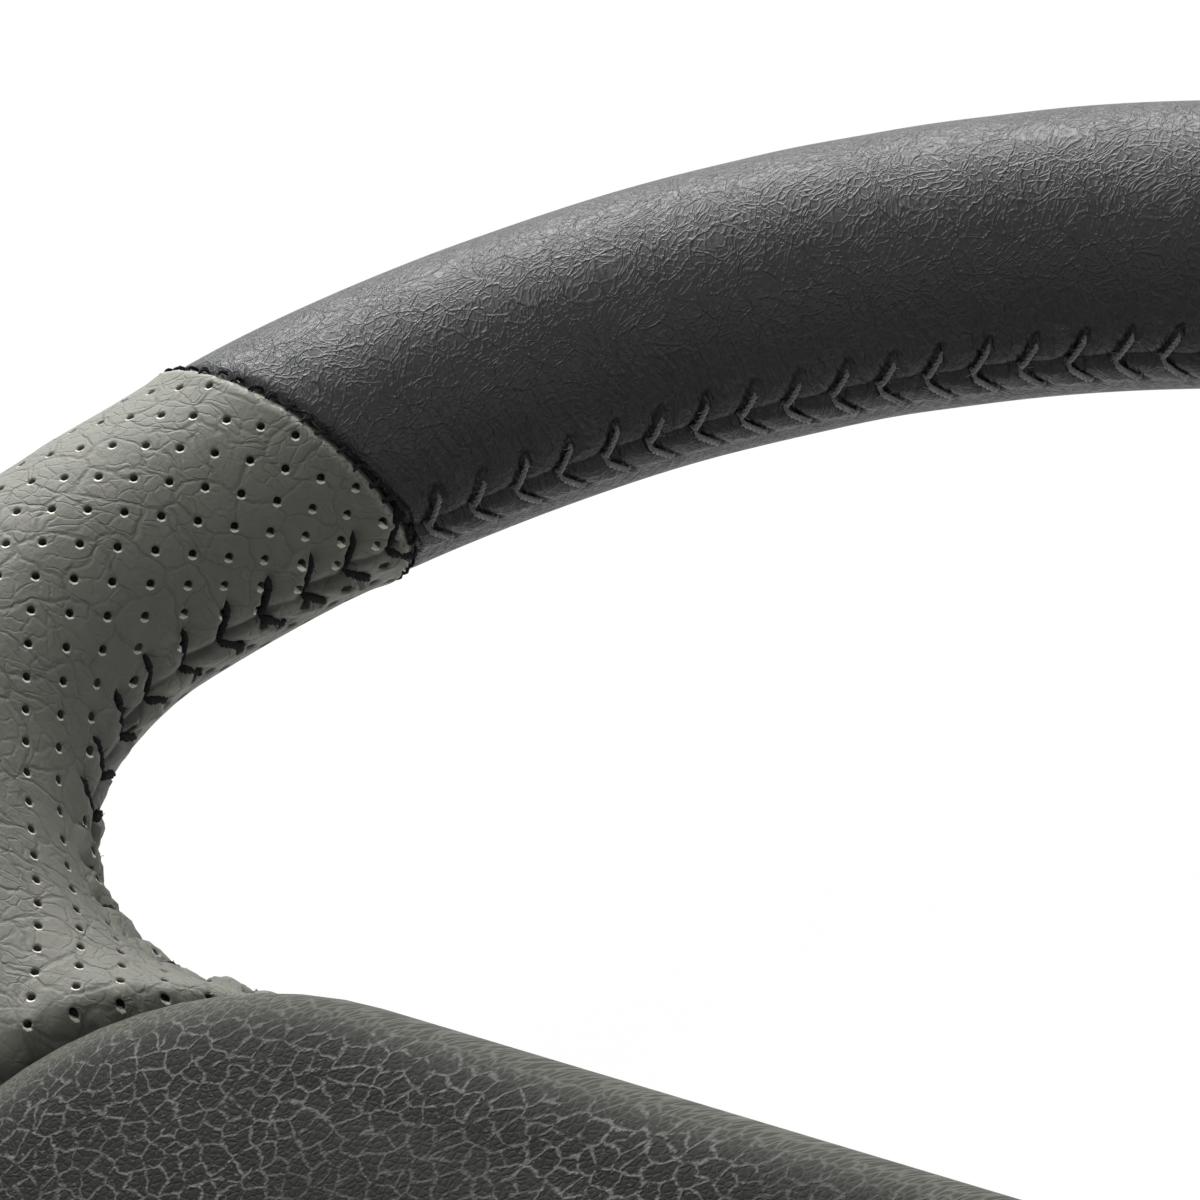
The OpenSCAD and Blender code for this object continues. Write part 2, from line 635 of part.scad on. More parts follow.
// The way into the leather at real distance d along the flat line l, whose leather is on its left
function into(l, s, d) =
    let (chord = place_at(l, s, d + thread_d / 2) - place_at(l, s, d - thread_d / 2))
    [-chord[1], chord[0]] / norm(chord);
module stitch(l, s, d) {
    lift = thread_d / 2 + thread_clear;
    e = min(d + stitch_pitch * stitch_lean, s[len(l) - 1] - thread_d);
    for (face = [1, -1]) leg(skin(place_at(l, s, d) + into(l, s, d) * foot_out, face, -lift),
        skin(place_at(l, s, e) + into(l, s, e) * stitch_reach, face, -lift));
}
// Stitches along an open line laid flat, evenly spaced along the real seam
module seam_stitches(l) {
    s = real_lengths(l);
    total = s[len(l) - 1];
    n = floor(total / stitch_pitch);
    for (i = [0:n - 1]) stitch(l, s, (i + 0.5) * total / n);
}
// Angle that the seams keep clear at each joint
joint_clear = 0.8;
LONG_SEAM_STEPS = 40;
SHORT_SEAM_STEPS = 10;
module black_stitches(middle_angle, half) {
    color(THREAD_GREY)
        seam_stitches(arc(flat_inner_r, middle_angle + half - joint_clear,
            middle_angle - half + joint_clear,
            LONG_SEAM_STEPS));
}
module left_stitches() {
    seam_stitches(concat([upper_far[0]], reversed(upper_corner_seam),
        arc(flat_inner_r, upper_leave, 90 + top_joint + joint_clear, SHORT_SEAM_STEPS)));
    seam_stitches(concat([lower_far[0]], reversed(side_lower_seam),
        arc(flat_inner_r, side_lower_leave, side_upper_leave, SHORT_SEAM_STEPS),
        side_upper_seam, [upper_far[UPPER_ARC_STEPS]]));
    seam_stitches(concat(arc(flat_inner_r, 270 - bottom_joint - joint_clear, lower_leave, SHORT_SEAM_STEPS),
        lower_corner_seam, [lower_far[LOWER_ARC_STEPS]]));
}
module stitching_top() { black_stitches(90, top_joint); }
module stitching_bottom() { black_stitches(270, bottom_joint); }
module stitching_grip_left() { color(THREAD_BLACK) left_stitches(); }
module stitching_grip_right() { color(THREAD_BLACK) mirror([1, 0, 0]) left_stitches(); }

// Steel hub cast into the plate. Its bore is splined behind and smooth in front, under a recess.
spline_len = 9;
spline_w = 0.5;
spline_depth = 0.5;
nut_recess_d = 28;
nut_recess_depth = 11;
module hub_boss() {
    color(STEEL) difference() {
        cylinder(d = hub_d, h = hub_len);
        translate([0, 0, -cut]) cylinder(d = bore_d, h = hub_len + 2 * cut);
        translate([0, 0, hub_len - nut_recess_depth]) cylinder(d = nut_recess_d, h = nut_recess_depth + cut);
        for (i = [0:spline_count - 1]) rotate(i * 360 / spline_count)
            translate([bore_d / 2 - cut, -spline_w / 2, -cut])
                cube([cut + spline_depth, spline_w, spline_len + cut]);
    }
}

// Shell between an outer and an inner run of rings. Each ring's points run clockwise seen from
// the driver. The runs start at the shell's free edge and end at its middle, which is closed by
// the two peaks, outer and inner, or left open as a hole where there are none.
function ring_faces(n, j, k) = [for (i = [0:n - 1])
    let (a = j * n + i, b = j * n + (i + 1) % n, c = k * n + i, d = k * n + (i + 1) % n)
    each [[a, d, c], [a, b, d]]];
module shell_of(outer, inner, peaks, upside_down = false) {
    rings = concat(outer, reversed(inner));
    n = len(rings[0]);
    m = len(rings);
    mid = len(outer);
    open_middle = len(peaks) == 0;
    faces = concat(
        [for (j = [0:m - 1]) if (j != mid - 1 || open_middle) each ring_faces(n, j, (j + 1) % m)],
        open_middle ? [] : [for (i = [0:n - 1])
            let (a = (mid - 1) * n, b = mid * n, k = (i + 1) % n)
            each [[a + i, a + k, m * n], [b + k, b + i, m * n + 1]]]
    );
    polyhedron(concat([for (r = rings) each r], peaks), upside_down ? [for (f = faces) reversed(f)] : faces);
}
function inset(l, d) = [for (i = [0:len(l) - 1])
    let (
        u = l[i] - l[(i + len(l) - 1) % len(l)],
        v = l[(i + 1) % len(l)] - l[i],
        w = u / norm(u) + v / norm(v),
        n = [w[1], -w[0]]
    )
    l[i] + n * d * 2 / (n * n)];
function at_height(l, z) = [for (p = l) [p[0], p[1], z]];
function with_heights(l, z) = [for (i = [0:len(l) - 1]) [l[i][0], l[i][1], z[i]]];
spoke_near = 5;
function on_spoke(p) = abs(p[0]) > leather_end - spoke_near
    || max(along(p), along(flip(p))) > lower_end_top - spoke_near;
function side_height(p) = sqrt(1 - pow(clamp(1 - from_openings(p)[0] / grip_r, 0, 1), 2));
function leather_front(p) = rim_height + middle(p) + (half_t(p) - hollow(p)) * side_height(p);
function leather_back(p) = rim_height + middle(p) - half_t(p) * side_height(p);

// The pad's cover: a skirt, a rounded edge and a low crown
skirt_drop = 4;
skirt_z = rim_height - skirt_drop;
skirt_clear = 3.4;
edge_base = 4.5;
edge_top = rim_height + pad_edge_h;
EDGE_STEPS = 5;
CROWN_SCALES = [0.8, 0.45];
skirt_heights = [for (p = pad_outline) on_spoke(p) ? leather_front(p) + horn_travel + skirt_clear : skirt_z];
function pad_rings(wall) = concat(
    [with_heights(inset(pad_outline, wall), skirt_heights)],
    [for (i = [0:EDGE_STEPS]) let (a = 90 * i / EDGE_STEPS)
        at_height(inset(pad_outline, wall + (pad_edge_w - wall) * (1 - cos(a))),
            rim_height + edge_base + (pad_edge_h - edge_base - wall) * sin(a))],
    [for (k = CROWN_SCALES) at_height(inset(pad_outline, pad_edge_w) * k,
        edge_top - wall + pad_crown * (1 - k * k))]
);

// The airbag module hangs on the tray, which the guide bolts hold
tray_z = 45;
tray_t = 2;
tray_corner_r = 8;
tray_edge = 6;
tray_top = tray_z + tray_t;
pad_screw_out = [12, 5];
pad_screw_x = bolt_x + pad_screw_out[0];
pad_screw_y = bolt_y + pad_screw_out[1];
tray_w = 2 * (pad_screw_x + tray_edge);
tray_h = 2 * (pad_screw_y + tray_edge);
pad_screw_r = 1.8;
pad_screw_len = 12;
pad_screw_head_r = 3.6;
pad_screw_head_t = 1.5;
pad_boss_r = 4.5;
module pad_cover() {
    color(PLASTIC) difference() {
        union() {
            shell_of(pad_rings(0), pad_rings(pad_wall),
                [for (wall = [0, pad_wall]) [0, 0, edge_top - wall + pad_crown]]);
            translate([0, 0, tray_top]) at_corners(pad_screw_x, pad_screw_y)
                cylinder(r = pad_boss_r, h = edge_top - pad_wall / 2 - tray_top);
        }
        translate([0, 0, tray_top - cut]) at_corners(pad_screw_x, pad_screw_y)
            cylinder(r = pad_screw_r, h = pad_screw_len + 2 * cut);
    }
}

inflator_r = 30;
inflator_low = 36;
inflator_top = 60;
inflator_chamfer = 3;
flange_r = 40;
flange_t = 2;
dome_r = 29;
stud_ring_r = 35.5;
stud_r = 2.5;
stud_low = 40.5;
retainer_t = 1.5;
retainer_in = 31;
nut_t = 3;
nut_r = 4.6;
bag_w = 100;
bag_h = 64;
bag_low = 54;
bag_top = 72;
bag_corner_r = 14;
bag_neck_r = 38;
bush_r = 4.6;
bush_flange_r = 6.5;
bush_flange_t = 2;
running_gap = 0.3;
bolt_head_r = 6;
bolt_head_t = 3;
bolt_socket_r = 2.4;
bolt_socket_depth = 1.8;
module at_studs() { for (a = [45:90:315]) rotate(a) translate([stud_ring_r, 0, 0]) children(); }

module module_tray() {
    color(STEEL) translate([0, 0, tray_z]) difference() {
        linear_extrude(tray_t) rounded_plate(tray_w, tray_h, tray_corner_r);
        translate([0, 0, -cut]) {
            cylinder(r = inflator_r + running_gap, h = tray_t + 2 * cut);
            at_corners(bolt_x, bolt_y) cylinder(r = bush_r, h = tray_t + 2 * cut);
            at_studs() cylinder(r = stud_r, h = tray_t + 2 * cut);
            at_corners(pad_screw_x, pad_screw_y) cylinder(r = pad_screw_r, h = tray_t + 2 * cut);
        }
    }
}
module inflator() {
    color(STEEL) difference() {
        rotate_extrude() polygon([
            [0, inflator_low], [inflator_r - inflator_chamfer, inflator_low],
            [inflator_r, inflator_low + inflator_chamfer],
            [inflator_r, tray_top], [flange_r, tray_top], [flange_r, tray_top + flange_t],
            [dome_r, tray_top + flange_t], [dome_r, inflator_top - inflator_chamfer],
            [dome_r - inflator_chamfer, inflator_top],
            [0, inflator_top]
        ]);
        translate([0, 0, tray_top - cut]) at_studs() cylinder(r = stud_r, h = flange_t + 2 * cut);
    }
}
module bag_retainer() {
    color(STEEL) {
        translate([0, 0, tray_top + flange_t]) difference() {
            cylinder(r = flange_r, h = retainer_t);
            translate([0, 0, -cut]) cylinder(r = retainer_in, h = retainer_t + 2 * cut);
        }
        translate([0, 0, stud_low]) at_studs()
            cylinder(r = stud_r, h = tray_top + flange_t + retainer_t / 2 - stud_low);
    }
}
module inflator_nuts() {
    color(STEEL) translate([0, 0, tray_z - nut_t]) at_studs() difference() {
        cylinder(r = nut_r, h = nut_t, $fn = 6);
        translate([0, 0, -cut]) cylinder(r = stud_r, h = nut_t + 2 * cut);
    }
}
module folded_bag() {
    neck_z = tray_top + flange_t + retainer_t;
    color([0.85, 0.85, 0.82]) difference() {
        union() {
            translate([0, 0, neck_z]) cylinder(r = bag_neck_r, h = bag_low - neck_z + cut);
            translate([0, 0, bag_low]) linear_extrude(bag_top - bag_low)
                rounded_plate(bag_w, bag_h, bag_corner_r);
        }
        translate([0, 0, tray_z]) cylinder(r = retainer_in, h = inflator_top + running_gap - tray_z);
    }
}
module pad_screws() {
    color(STEEL) at_corners(pad_screw_x, pad_screw_y) {
        translate([0, 0, tray_z - pad_screw_head_t]) cylinder(r = pad_screw_head_r, h = pad_screw_head_t);
        translate([0, 0, tray_z - pad_screw_head_t / 2])
            cylinder(r = pad_screw_r, h = pad_screw_head_t / 2 + tray_t + pad_screw_len);
    }
}
module guide_bushes() {
    color([0.85, 0.84, 0.78]) at_corners(bolt_x, bolt_y) difference() {
        union() {
            translate([0, 0, tray_z - bush_flange_t]) cylinder(r = bush_flange_r, h = bush_flange_t);
            translate([0, 0, tray_z - bush_flange_t / 2])
                cylinder(r = bush_r, h = tray_t + bush_flange_t / 2);
        }
        translate([0, 0, tray_z - bush_flange_t - cut])
            cylinder(r = bolt_r + running_gap, h = bush_flange_t + tray_t + 2 * cut);
    }
}
module guide_bolts() {
    head_z = tray_top + running_gap;
    color(STEEL) at_corners(bolt_x, bolt_y) difference() {
        union() {
            translate([0, 0, plate_z]) cylinder(r = bolt_r, h = head_z + bolt_head_t / 2 - plate_z);
            translate([0, 0, head_z]) cylinder(r = bolt_head_r, h = bolt_head_t);
        }
        translate([0, 0, head_z + bolt_head_t - bolt_socket_depth])
            cylinder(r = bolt_socket_r, h = bolt_socket_depth + cut, $fn = 6);
    }
}

// Springs round the guide bolts, between the hub plate and the bushes
spring_turns = 4;
SPRING_STEPS = 9;
WIRE_STEPS = 5;
module spring(low, high) {
    n = spring_turns * SPRING_STEPS;
    lift = high - low - 2 * spring_wire_r;
    points = [for (i = [0:n]) let (a = 360 * i / SPRING_STEPS, z = low + spring_wire_r + lift * i / n)
        each [for (k = [0:WIRE_STEPS - 1]) let (b = 360 * k / WIRE_STEPS)
            concat(polar(spring_r + spring_wire_r * cos(b), a), z + spring_wire_r * sin(b))]];
    polyhedron(points, concat(
        [[for (k = [WIRE_STEPS - 1:-1:0]) k], [for (k = [0:WIRE_STEPS - 1]) n * WIRE_STEPS + k]],
        [for (i = [0:n - 1]) for (k = [0:WIRE_STEPS - 1])
            let (a = i * WIRE_STEPS + k, b = i * WIRE_STEPS + (k + 1) % WIRE_STEPS)
            each [[a, b + WIRE_STEPS, a + WIRE_STEPS], [a, b, b + WIRE_STEPS]]]
    ));
}
module horn_springs() {
    color(STEEL) at_corners(bolt_x, bolt_y) spring(hub_len, tray_z - bush_flange_t);
}

// Horn contacts: two posts on the hub plate and two buttons under the tray
contact_x = 38;
post_r = 2.5;
button_r = 3.2;
button_t = 1.5;
contact_clear = 0.25;
module horn_contacts_fixed() {
    color(BRASS) translate([0, 0, hub_len]) at_sides(contact_x)
        cylinder(r = post_r, h = tray_z - button_t - horn_travel - contact_clear - hub_len);
}
module horn_contacts_moving() {
    color(BRASS) translate([0, 0, tray_z - button_t]) at_sides(contact_x)
        cylinder(r = button_r, h = button_t);
}

// The contact ring behind the hub, and the lead from it to a post
carrier_low = 5;
carrier_t = 4;
slip_ring_w = 5;
slip_ring_middle = (hub_d / 2 + carrier_r) / 2;
slip_ring_in = slip_ring_middle - slip_ring_w / 2;
slip_ring_out = slip_ring_middle + slip_ring_w / 2;
slip_ring_t = 1;
lead_turn_z = 33.5;
module slip_ring_carrier() {
    color(PLASTIC) translate([0, 0, carrier_low]) difference() {
        cylinder(r = carrier_r, h = carrier_t);
        translate([0, 0, -cut]) cylinder(d = hub_d, h = carrier_t + 2 * cut);
    }
}
module slip_ring() {
    color(BRASS) translate([0, 0, carrier_low - slip_ring_t]) difference() {
        cylinder(r = slip_ring_out, h = slip_ring_t);
        translate([0, 0, -cut]) cylinder(r = slip_ring_in, h = slip_ring_t + 2 * cut);
    }
}
module horn_lead() {
    low = carrier_low + carrier_t;
    color([0.7, 0.1, 0.1]) {
        translate([lead_x, 0, low]) cylinder(r = lead_r, h = lead_turn_z - low);
        translate([lead_x, 0, lead_turn_z]) sphere(lead_r);
        translate([lead_x, 0, lead_turn_z]) rotate([0, 90, 0])
            cylinder(r = lead_r, h = contact_x - post_r - lead_x);
    }
}
plug_r = 7;
plug_h = 4.5;
module squib_plug() {
    color([0.8, 0.7, 0.1]) translate([0, 0, inflator_low - plug_h]) cylinder(r = plug_r, h = plug_h);
}

// The rear cover: a dished shell from a collar round the hub out to the pad's outline
cover_short = 18;
cover_tip_short = 10;
cover_half_w = pad_half_w - cover_short;
cover_tip = pad_tip - cover_tip_short;
cover_corner_r = 30;
cover_side_r = 16;
cover_tip_flat = 8;
cover_tip_r = lower_spoke_w / 2 - cover_tip_flat;
cover_floor = 10;
cover_edge = 45;
cover_rise_from = 46;
cover_rise_short = 8;
cover_rise_to = cover_half_w - cover_rise_short;
cover_gap = 0.6;
cover_top = skirt_z - horn_travel - cover_gap;
cover_outline = divided(rounded(wing_outline(cover_half_w, cover_corner_r, cover_side_r,
    cover_tip, cover_tip_r, pad_inset), CORNER_STEPS), SIDE_STEP);
function cover_z(p) = cover_floor
    + (cover_edge - cover_floor) * smooth((norm(p) - cover_rise_from) / (cover_rise_to - cover_rise_from));
cover_inside = inset(cover_outline, cover_wall);
cover_tops = [for (i = [0:len(cover_outline) - 1])
    let (p = cover_outline[i])
    on_spoke(p) ? min(leather_back(p), leather_back(cover_inside[i])) - running_gap : cover_top];
// A ring of the cover's outline d inside it, as high above the floor as share or most allow
function cover_ring(d, wall, share, most) =
    let (l = inset(cover_outline, d))
    with_heights(l, [for (i = [0:len(l) - 1]) let (z = cover_z(cover_outline[i]) + wall)
        z + min((cover_tops[i] - z) * share, most)]);
rim_inset = 6;
function collar_ring(w, r, wall) = [for (p = inset(cover_outline, rim_inset + wall))
    let (q = p * (1 - w) + p / norm(p) * r * w) [q[0], q[1], cover_z(q) + wall]];
function cover_rings(wall) = concat(
    [with_heights(inset(cover_outline, wall), cover_tops)],
    [cover_ring(wall, wall, 0.6, 6), cover_ring(2 + wall, wall, 0.2, 1.6)],
    [for (w = [0:0.25:1]) collar_ring(w, collar_r - wall, wall)],
    [at_height(collar_ring(1, collar_r - wall, wall), 0)]
);
cover_boss_r = 6.5;
cover_boss_low = cover_floor + 1;
cover_screw_seat = 14;
cover_screw_head_r = 3.8;
cover_screw_head_t = 2.5;
cover_socket_r = 1.6;
cover_socket_depth = 1.5;
cover_screw_end = plate_z + plate_t - cover_screw_floor - running_gap;
module rear_cover() {
    color(PLASTIC) difference() {
        union() {
            shell_of(cover_rings(0), cover_rings(cover_wall), [], true);
            at_sides(cover_screw_x) translate([0, 0, cover_boss_low])
                cylinder(r = cover_boss_r, h = plate_z - cover_boss_low);
        }
        at_sides(cover_screw_x) {
            translate([0, 0, cover_floor - cut])
                cylinder(r = cover_screw_r, h = plate_z - cover_floor + 2 * cut);
            translate([0, 0, cover_floor - cut])
                cylinder(r = cover_screw_head_r + running_gap, h = cover_screw_seat - cover_floor + cut);
        }
    }
}
module rear_cover_screws() {
    color(STEEL) at_sides(cover_screw_x) difference() {
        union() {
            translate([0, 0, cover_screw_seat - cover_screw_head_t])
                cylinder(r = cover_screw_head_r, h = cover_screw_head_t);
            translate([0, 0, cover_screw_seat - cover_screw_head_t / 2])
                cylinder(r = cover_screw_r, h = cover_screw_end - cover_screw_seat + cover_screw_head_t / 2);
        }
        translate([0, 0, cover_screw_seat - cover_screw_head_t - cut])
            cylinder(r = cover_socket_r, h = cover_socket_depth + cut, $fn = 6);
    }
}

hub_boss();
armature();
rim_foam_left();
rim_foam_right();
leather_top();
leather_bottom();
leather_grip_left();
leather_grip_right();
stitching_top();
stitching_bottom();
stitching_grip_left();
stitching_grip_right();
rear_cover();
rear_cover_screws();
slip_ring_carrier();
slip_ring();
guide_bolts();
horn_springs();
horn_contacts_fixed();
horn_lead();
pad_cover();
module_tray();
bag_retainer();
folded_bag();
inflator();
inflator_nuts();
pad_screws();
guide_bushes();
horn_contacts_moving();
squib_plug();
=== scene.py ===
import json
import math

import bpy
import numpy as np
from mathutils import Matrix, Vector, kdtree, noise
from mathutils.geometry import delaunay_2d_cdt


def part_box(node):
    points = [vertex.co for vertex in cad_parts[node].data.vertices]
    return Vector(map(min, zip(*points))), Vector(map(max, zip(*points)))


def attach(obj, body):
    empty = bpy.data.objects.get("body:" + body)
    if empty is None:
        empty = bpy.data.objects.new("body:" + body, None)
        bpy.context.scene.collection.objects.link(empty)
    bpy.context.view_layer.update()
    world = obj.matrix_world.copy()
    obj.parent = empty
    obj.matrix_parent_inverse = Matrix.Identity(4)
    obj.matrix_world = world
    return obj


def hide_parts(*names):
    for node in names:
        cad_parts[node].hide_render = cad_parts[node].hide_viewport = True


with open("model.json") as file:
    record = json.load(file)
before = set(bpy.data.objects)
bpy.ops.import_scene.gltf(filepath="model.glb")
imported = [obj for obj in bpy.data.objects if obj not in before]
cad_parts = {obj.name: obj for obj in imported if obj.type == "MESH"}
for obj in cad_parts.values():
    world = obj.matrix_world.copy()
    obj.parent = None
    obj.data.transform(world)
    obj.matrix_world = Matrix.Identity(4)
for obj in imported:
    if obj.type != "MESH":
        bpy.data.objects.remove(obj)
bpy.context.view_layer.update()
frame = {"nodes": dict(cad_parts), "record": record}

# Two-tone leather steering wheel: the leather, thread and moulded covers are modelled here round
# the frame. Lengths are in millimetres, in the frame's own axes, and become metres in add_mesh.
MM = 1000.0

# Sizes of the rim and the pad, read off the frame
TOP_LOW, TOP_HIGH = (np.array(c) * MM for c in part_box("leather_top"))
RIM_R = TOP_HIGH[1]
GRIP_R = (TOP_HIGH[2] - TOP_LOW[2]) / 2
RIM_Z = (TOP_HIGH[2] + TOP_LOW[2]) / 2
RING_R = RIM_R - GRIP_R
INNER_R = RING_R - GRIP_R
PAD_HALF_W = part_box("pad_cover")[1][0] * MM

# Spokes, openings and joints, as in the frame
SPOKE_TOP, SPOKE_BOTTOM = 47.0, 15.0
LOW_W = 40.0
LOW_ANGLE = math.radians(42)
SPOKE_HALF_T, SPOKE_DROP = 10.5, 3.0
UPPER_CORNER, SIDE_CORNER, LOWER_CORNER = 24.0, 12.0, 20.0
SIDE_X, LOWER_Y = 78.0, 76.0
BLEND_SHORT = 4.0
LEATHER_END = 86.0
END_CLEAR = 1.0
TOP_JOINT, BOTTOM_JOINT, JOINT_SLANT = (math.radians(a) for a in (48.3, 28.0, 5.5))
PAD_INSET = 1.0
PAD_CORNER, PAD_SIDE_CORNER, PAD_TIP, PAD_TIP_CORNER = 38.0, 20.0, 122.0, 18.0
DIP_DEPTH, DIP_IN, DIP_OUT, DIP_REACH = 8.0, 1.0, 5.0, 12.0
LOW_DIR = np.array([math.cos(LOW_ANGLE), -math.sin(LOW_ANGLE)])
LOW_UP = np.array([math.sin(LOW_ANGLE), math.cos(LOW_ANGLE)])
FLIP = np.array([-1.0, 1.0])
FLAT_REACH = GRIP_R * math.pi / 2
FLAT_IN, FLAT_OUT = RING_R - FLAT_REACH, RING_R + FLAT_REACH
SEAM_SHIFT = FLAT_REACH - GRIP_R

# Stitching
PITCH = 5.0
STITCH_LEAN = 0.42
TUFT_PITCH = 2.4


def smooth(x):
    t = np.clip(x, 0, 1)
    return t * t * (3 - 2 * t)


def polar(r, a):
    return np.stack([r * np.cos(a), r * np.sin(a)], -1)


def angle_of(p):
    return math.atan2(p[1], p[0])


def crossing(n, d, m, e):
    """Where the lines p . n = d and p . m = e cross."""
    k = n[0] * m[1] - n[1] * m[0]
    return np.array([(d * m[1] - e * n[1]) / k, (n[0] * e - m[0] * d) / k])


def on_circle(n, d, r, t):
    """The point of the line p . n = d at radius r, to the side of t."""
    return n * d + t * math.sqrt(r * r - d * d)


class Opening:
    """One opening between the spokes: a sharp shape of an arc and straight sides, grown by a radius."""

    def __init__(self, r, start, end, corners, grow):
        self.r, self.grow, self.corners = r, grow, corners
        self.middle, self.half = (start + end) / 2, abs(end - start) / 2

    def near(self, p):
        """Distance of the points from the opening, below zero inside it, and the way out of it."""
        a = np.arctan2(p[:, 1], p[:, 0]) - self.middle
        a -= 2 * np.pi * np.round(a / (2 * np.pi))
        best = polar(self.r, np.clip(a, -self.half, self.half) + self.middle)
        far = np.linalg.norm(p - best, axis=1)
        for a, b in zip(self.corners, self.corners[1:]):
            q = a + np.clip((p - a) @ (b - a) / ((b - a) @ (b - a)), 0, 1)[:, None] * (b - a)
            d = np.linalg.norm(p - q, axis=1)
            best[d < far] = q[d < far]
            far = np.minimum(far, d)
        return far - self.grow, (p - best) / np.maximum(far, 1e-6)[:, None]


X_AXIS, Y_AXIS = np.array([1.0, 0.0]), np.array([0.0, 1.0])

UPPER_R = INNER_R - UPPER_CORNER
UPPER_END = math.asin((SPOKE_TOP + UPPER_CORNER) / UPPER_R)
SIDE_R = INNER_R - SIDE_CORNER
SIDE_LINE = LOW_W / 2 + SIDE_CORNER
SIDE_Y = -SPOKE_BOTTOM - SIDE_CORNER
SIDE_IN = SIDE_X + SIDE_CORNER
SIDE_END = math.asin(SIDE_Y / SIDE_R)
SIDE_LOW = angle_of(on_circle(LOW_UP, SIDE_LINE, SIDE_R, LOW_DIR))
SIDE_SHAPE = [polar(SIDE_R, SIDE_END), np.array([SIDE_IN, SIDE_Y]),
              crossing(LOW_UP, SIDE_LINE, X_AXIS, SIDE_IN), polar(SIDE_R, SIDE_LOW)]
LOWER_R = INNER_R - LOWER_CORNER
LOWER_LINE = -LOW_W / 2 - LOWER_CORNER
LOWER_POINT = crossing(LOW_UP, LOWER_LINE, Y_AXIS, -LOWER_Y - LOWER_CORNER)
LOWER_END = angle_of(on_circle(LOW_UP, LOWER_LINE, LOWER_R, LOW_DIR))
OPENINGS = [
    Opening(UPPER_R, UPPER_END, np.pi - UPPER_END,
            [polar(UPPER_R, np.pi - UPPER_END), polar(UPPER_R, UPPER_END)], UPPER_CORNER),
    Opening(SIDE_R, SIDE_LOW, SIDE_END, SIDE_SHAPE, SIDE_CORNER),
    Opening(SIDE_R, np.pi - SIDE_END, np.pi - SIDE_LOW, [p * FLIP for p in SIDE_SHAPE], SIDE_CORNER),
    Opening(LOWER_R, -np.pi - LOWER_END, LOWER_END,
            [polar(LOWER_R, LOWER_END), LOWER_POINT, LOWER_POINT * FLIP,
             polar(LOWER_R, -np.pi - LOWER_END)], LOWER_CORNER),
]


def from_openings(p):
    far, way = np.full(len(p), 1e9), np.zeros((len(p), 2))
    for opening in OPENINGS:
        d, n = opening.near(p)
        way[d < far] = n[d < far]
        far = np.minimum(far, d)
    return far, way


def rounded(corners, steps, step):
    """A closed outline with its corners (point, radius) rounded and no side longer than step."""
    line = []
    n = len(corners)
    for i, (b, r) in enumerate(corners):
        u = corners[i - 1][0] - b
        v = corners[(i + 1) % n][0] - b
        u, v = u / np.linalg.norm(u), v / np.linalg.norm(v)
        half = math.acos(np.clip(u @ v, -1, 1)) / 2
        m = b + (u + v) / np.linalg.norm(u + v) * r / math.sin(half)
        start = angle_of(b + u * r / math.tan(half) - m)
        turn = (angle_of(b + v * r / math.tan(half) - m) - start + np.pi) % (2 * np.pi) - np.pi
        line.extend(m + polar(r, start + turn * np.arange(steps + 1) / steps))
    out = []
    for a, b in zip(line, line[1:] + line[:1]):
        k = max(1, math.ceil(np.linalg.norm(b - a) / step))
        out.extend(a + (b - a) * np.arange(k)[:, None] / k)
    return np.array(out)


def wing_outline(half_w, corner, side_corner, tip, tip_corner, inset, steps, step):
    """Outline of the pad or of the rear cover, clockwise from the upper right corner."""
    top, low = SPOKE_TOP - inset, -SPOKE_BOTTOM + inset
    line, side, bottom = LOW_W / 2 - inset, SIDE_X - inset, -LOWER_Y + inset
    right = [
        (np.array([half_w, top]), corner), (np.array([half_w, low]), side_corner),
        (np.array([side, low]), SIDE_CORNER), (crossing(LOW_UP, line, X_AXIS, side), SIDE_CORNER),
        (LOW_DIR * tip + LOW_UP * line, tip_corner), (LOW_DIR * tip - LOW_UP * line, tip_corner),
        (crossing(LOW_UP, -line, Y_AXIS, bottom), LOWER_CORNER),
    ]
    return rounded(right + [(p * FLIP, r) for p, r in right[::-1]], steps, step)


def pad_outline(steps=6, step=20.0):
    return wing_outline(PAD_HALF_W, PAD_CORNER, PAD_SIDE_CORNER, PAD_TIP, PAD_TIP_CORNER,
                        PAD_INSET, steps, step)


PAD_EDGE = pad_outline()


def from_side(p, a, b):
    """Distance of the points from the side a to b, and the share of it at the nearest place."""
    t = np.clip((p - a) @ (b - a) / max((b - a) @ (b - a), 1e-9), 0, 1)
    return np.linalg.norm(p - a - t[:, None] * (b - a), axis=1), t


def from_outline(line, p):
    """Distance of the points from a closed outline, below zero inside it."""
    far, inside = np.full(len(p), 1e9), np.zeros(len(p), bool)
    for a, b in zip(line, np.roll(line, -1, 0)):
        far = np.minimum(far, from_side(p, a, b)[0])
        rise = b[1] - a[1]
        if rise:
            crosses = (a[1] > p[:, 1]) != (b[1] > p[:, 1])
            inside ^= crosses & (p[:, 0] < (b[0] - a[0]) * (p[:, 1] - a[1]) / rise + a[0])
    return far * np.where(inside, -1, 1)


def spoke_share(p):
    run = RING_R - BLEND_SHORT - PAD_HALF_W
    return 1 - smooth((np.linalg.norm(p, axis=1) - PAD_HALF_W) / run)


def half_thickness(p):
    return GRIP_R + (SPOKE_HALF_T - GRIP_R) * spoke_share(p)


def hollow(p):
    out = np.zeros(len(p))
    near = np.linalg.norm(p, axis=1) < PAD_HALF_W + DIP_REACH
    if near.any():
        edge = from_outline(PAD_EDGE, p[near])
        out[near] = DIP_DEPTH * (1 - smooth((edge + DIP_IN) / (DIP_IN + DIP_OUT)))
    return out


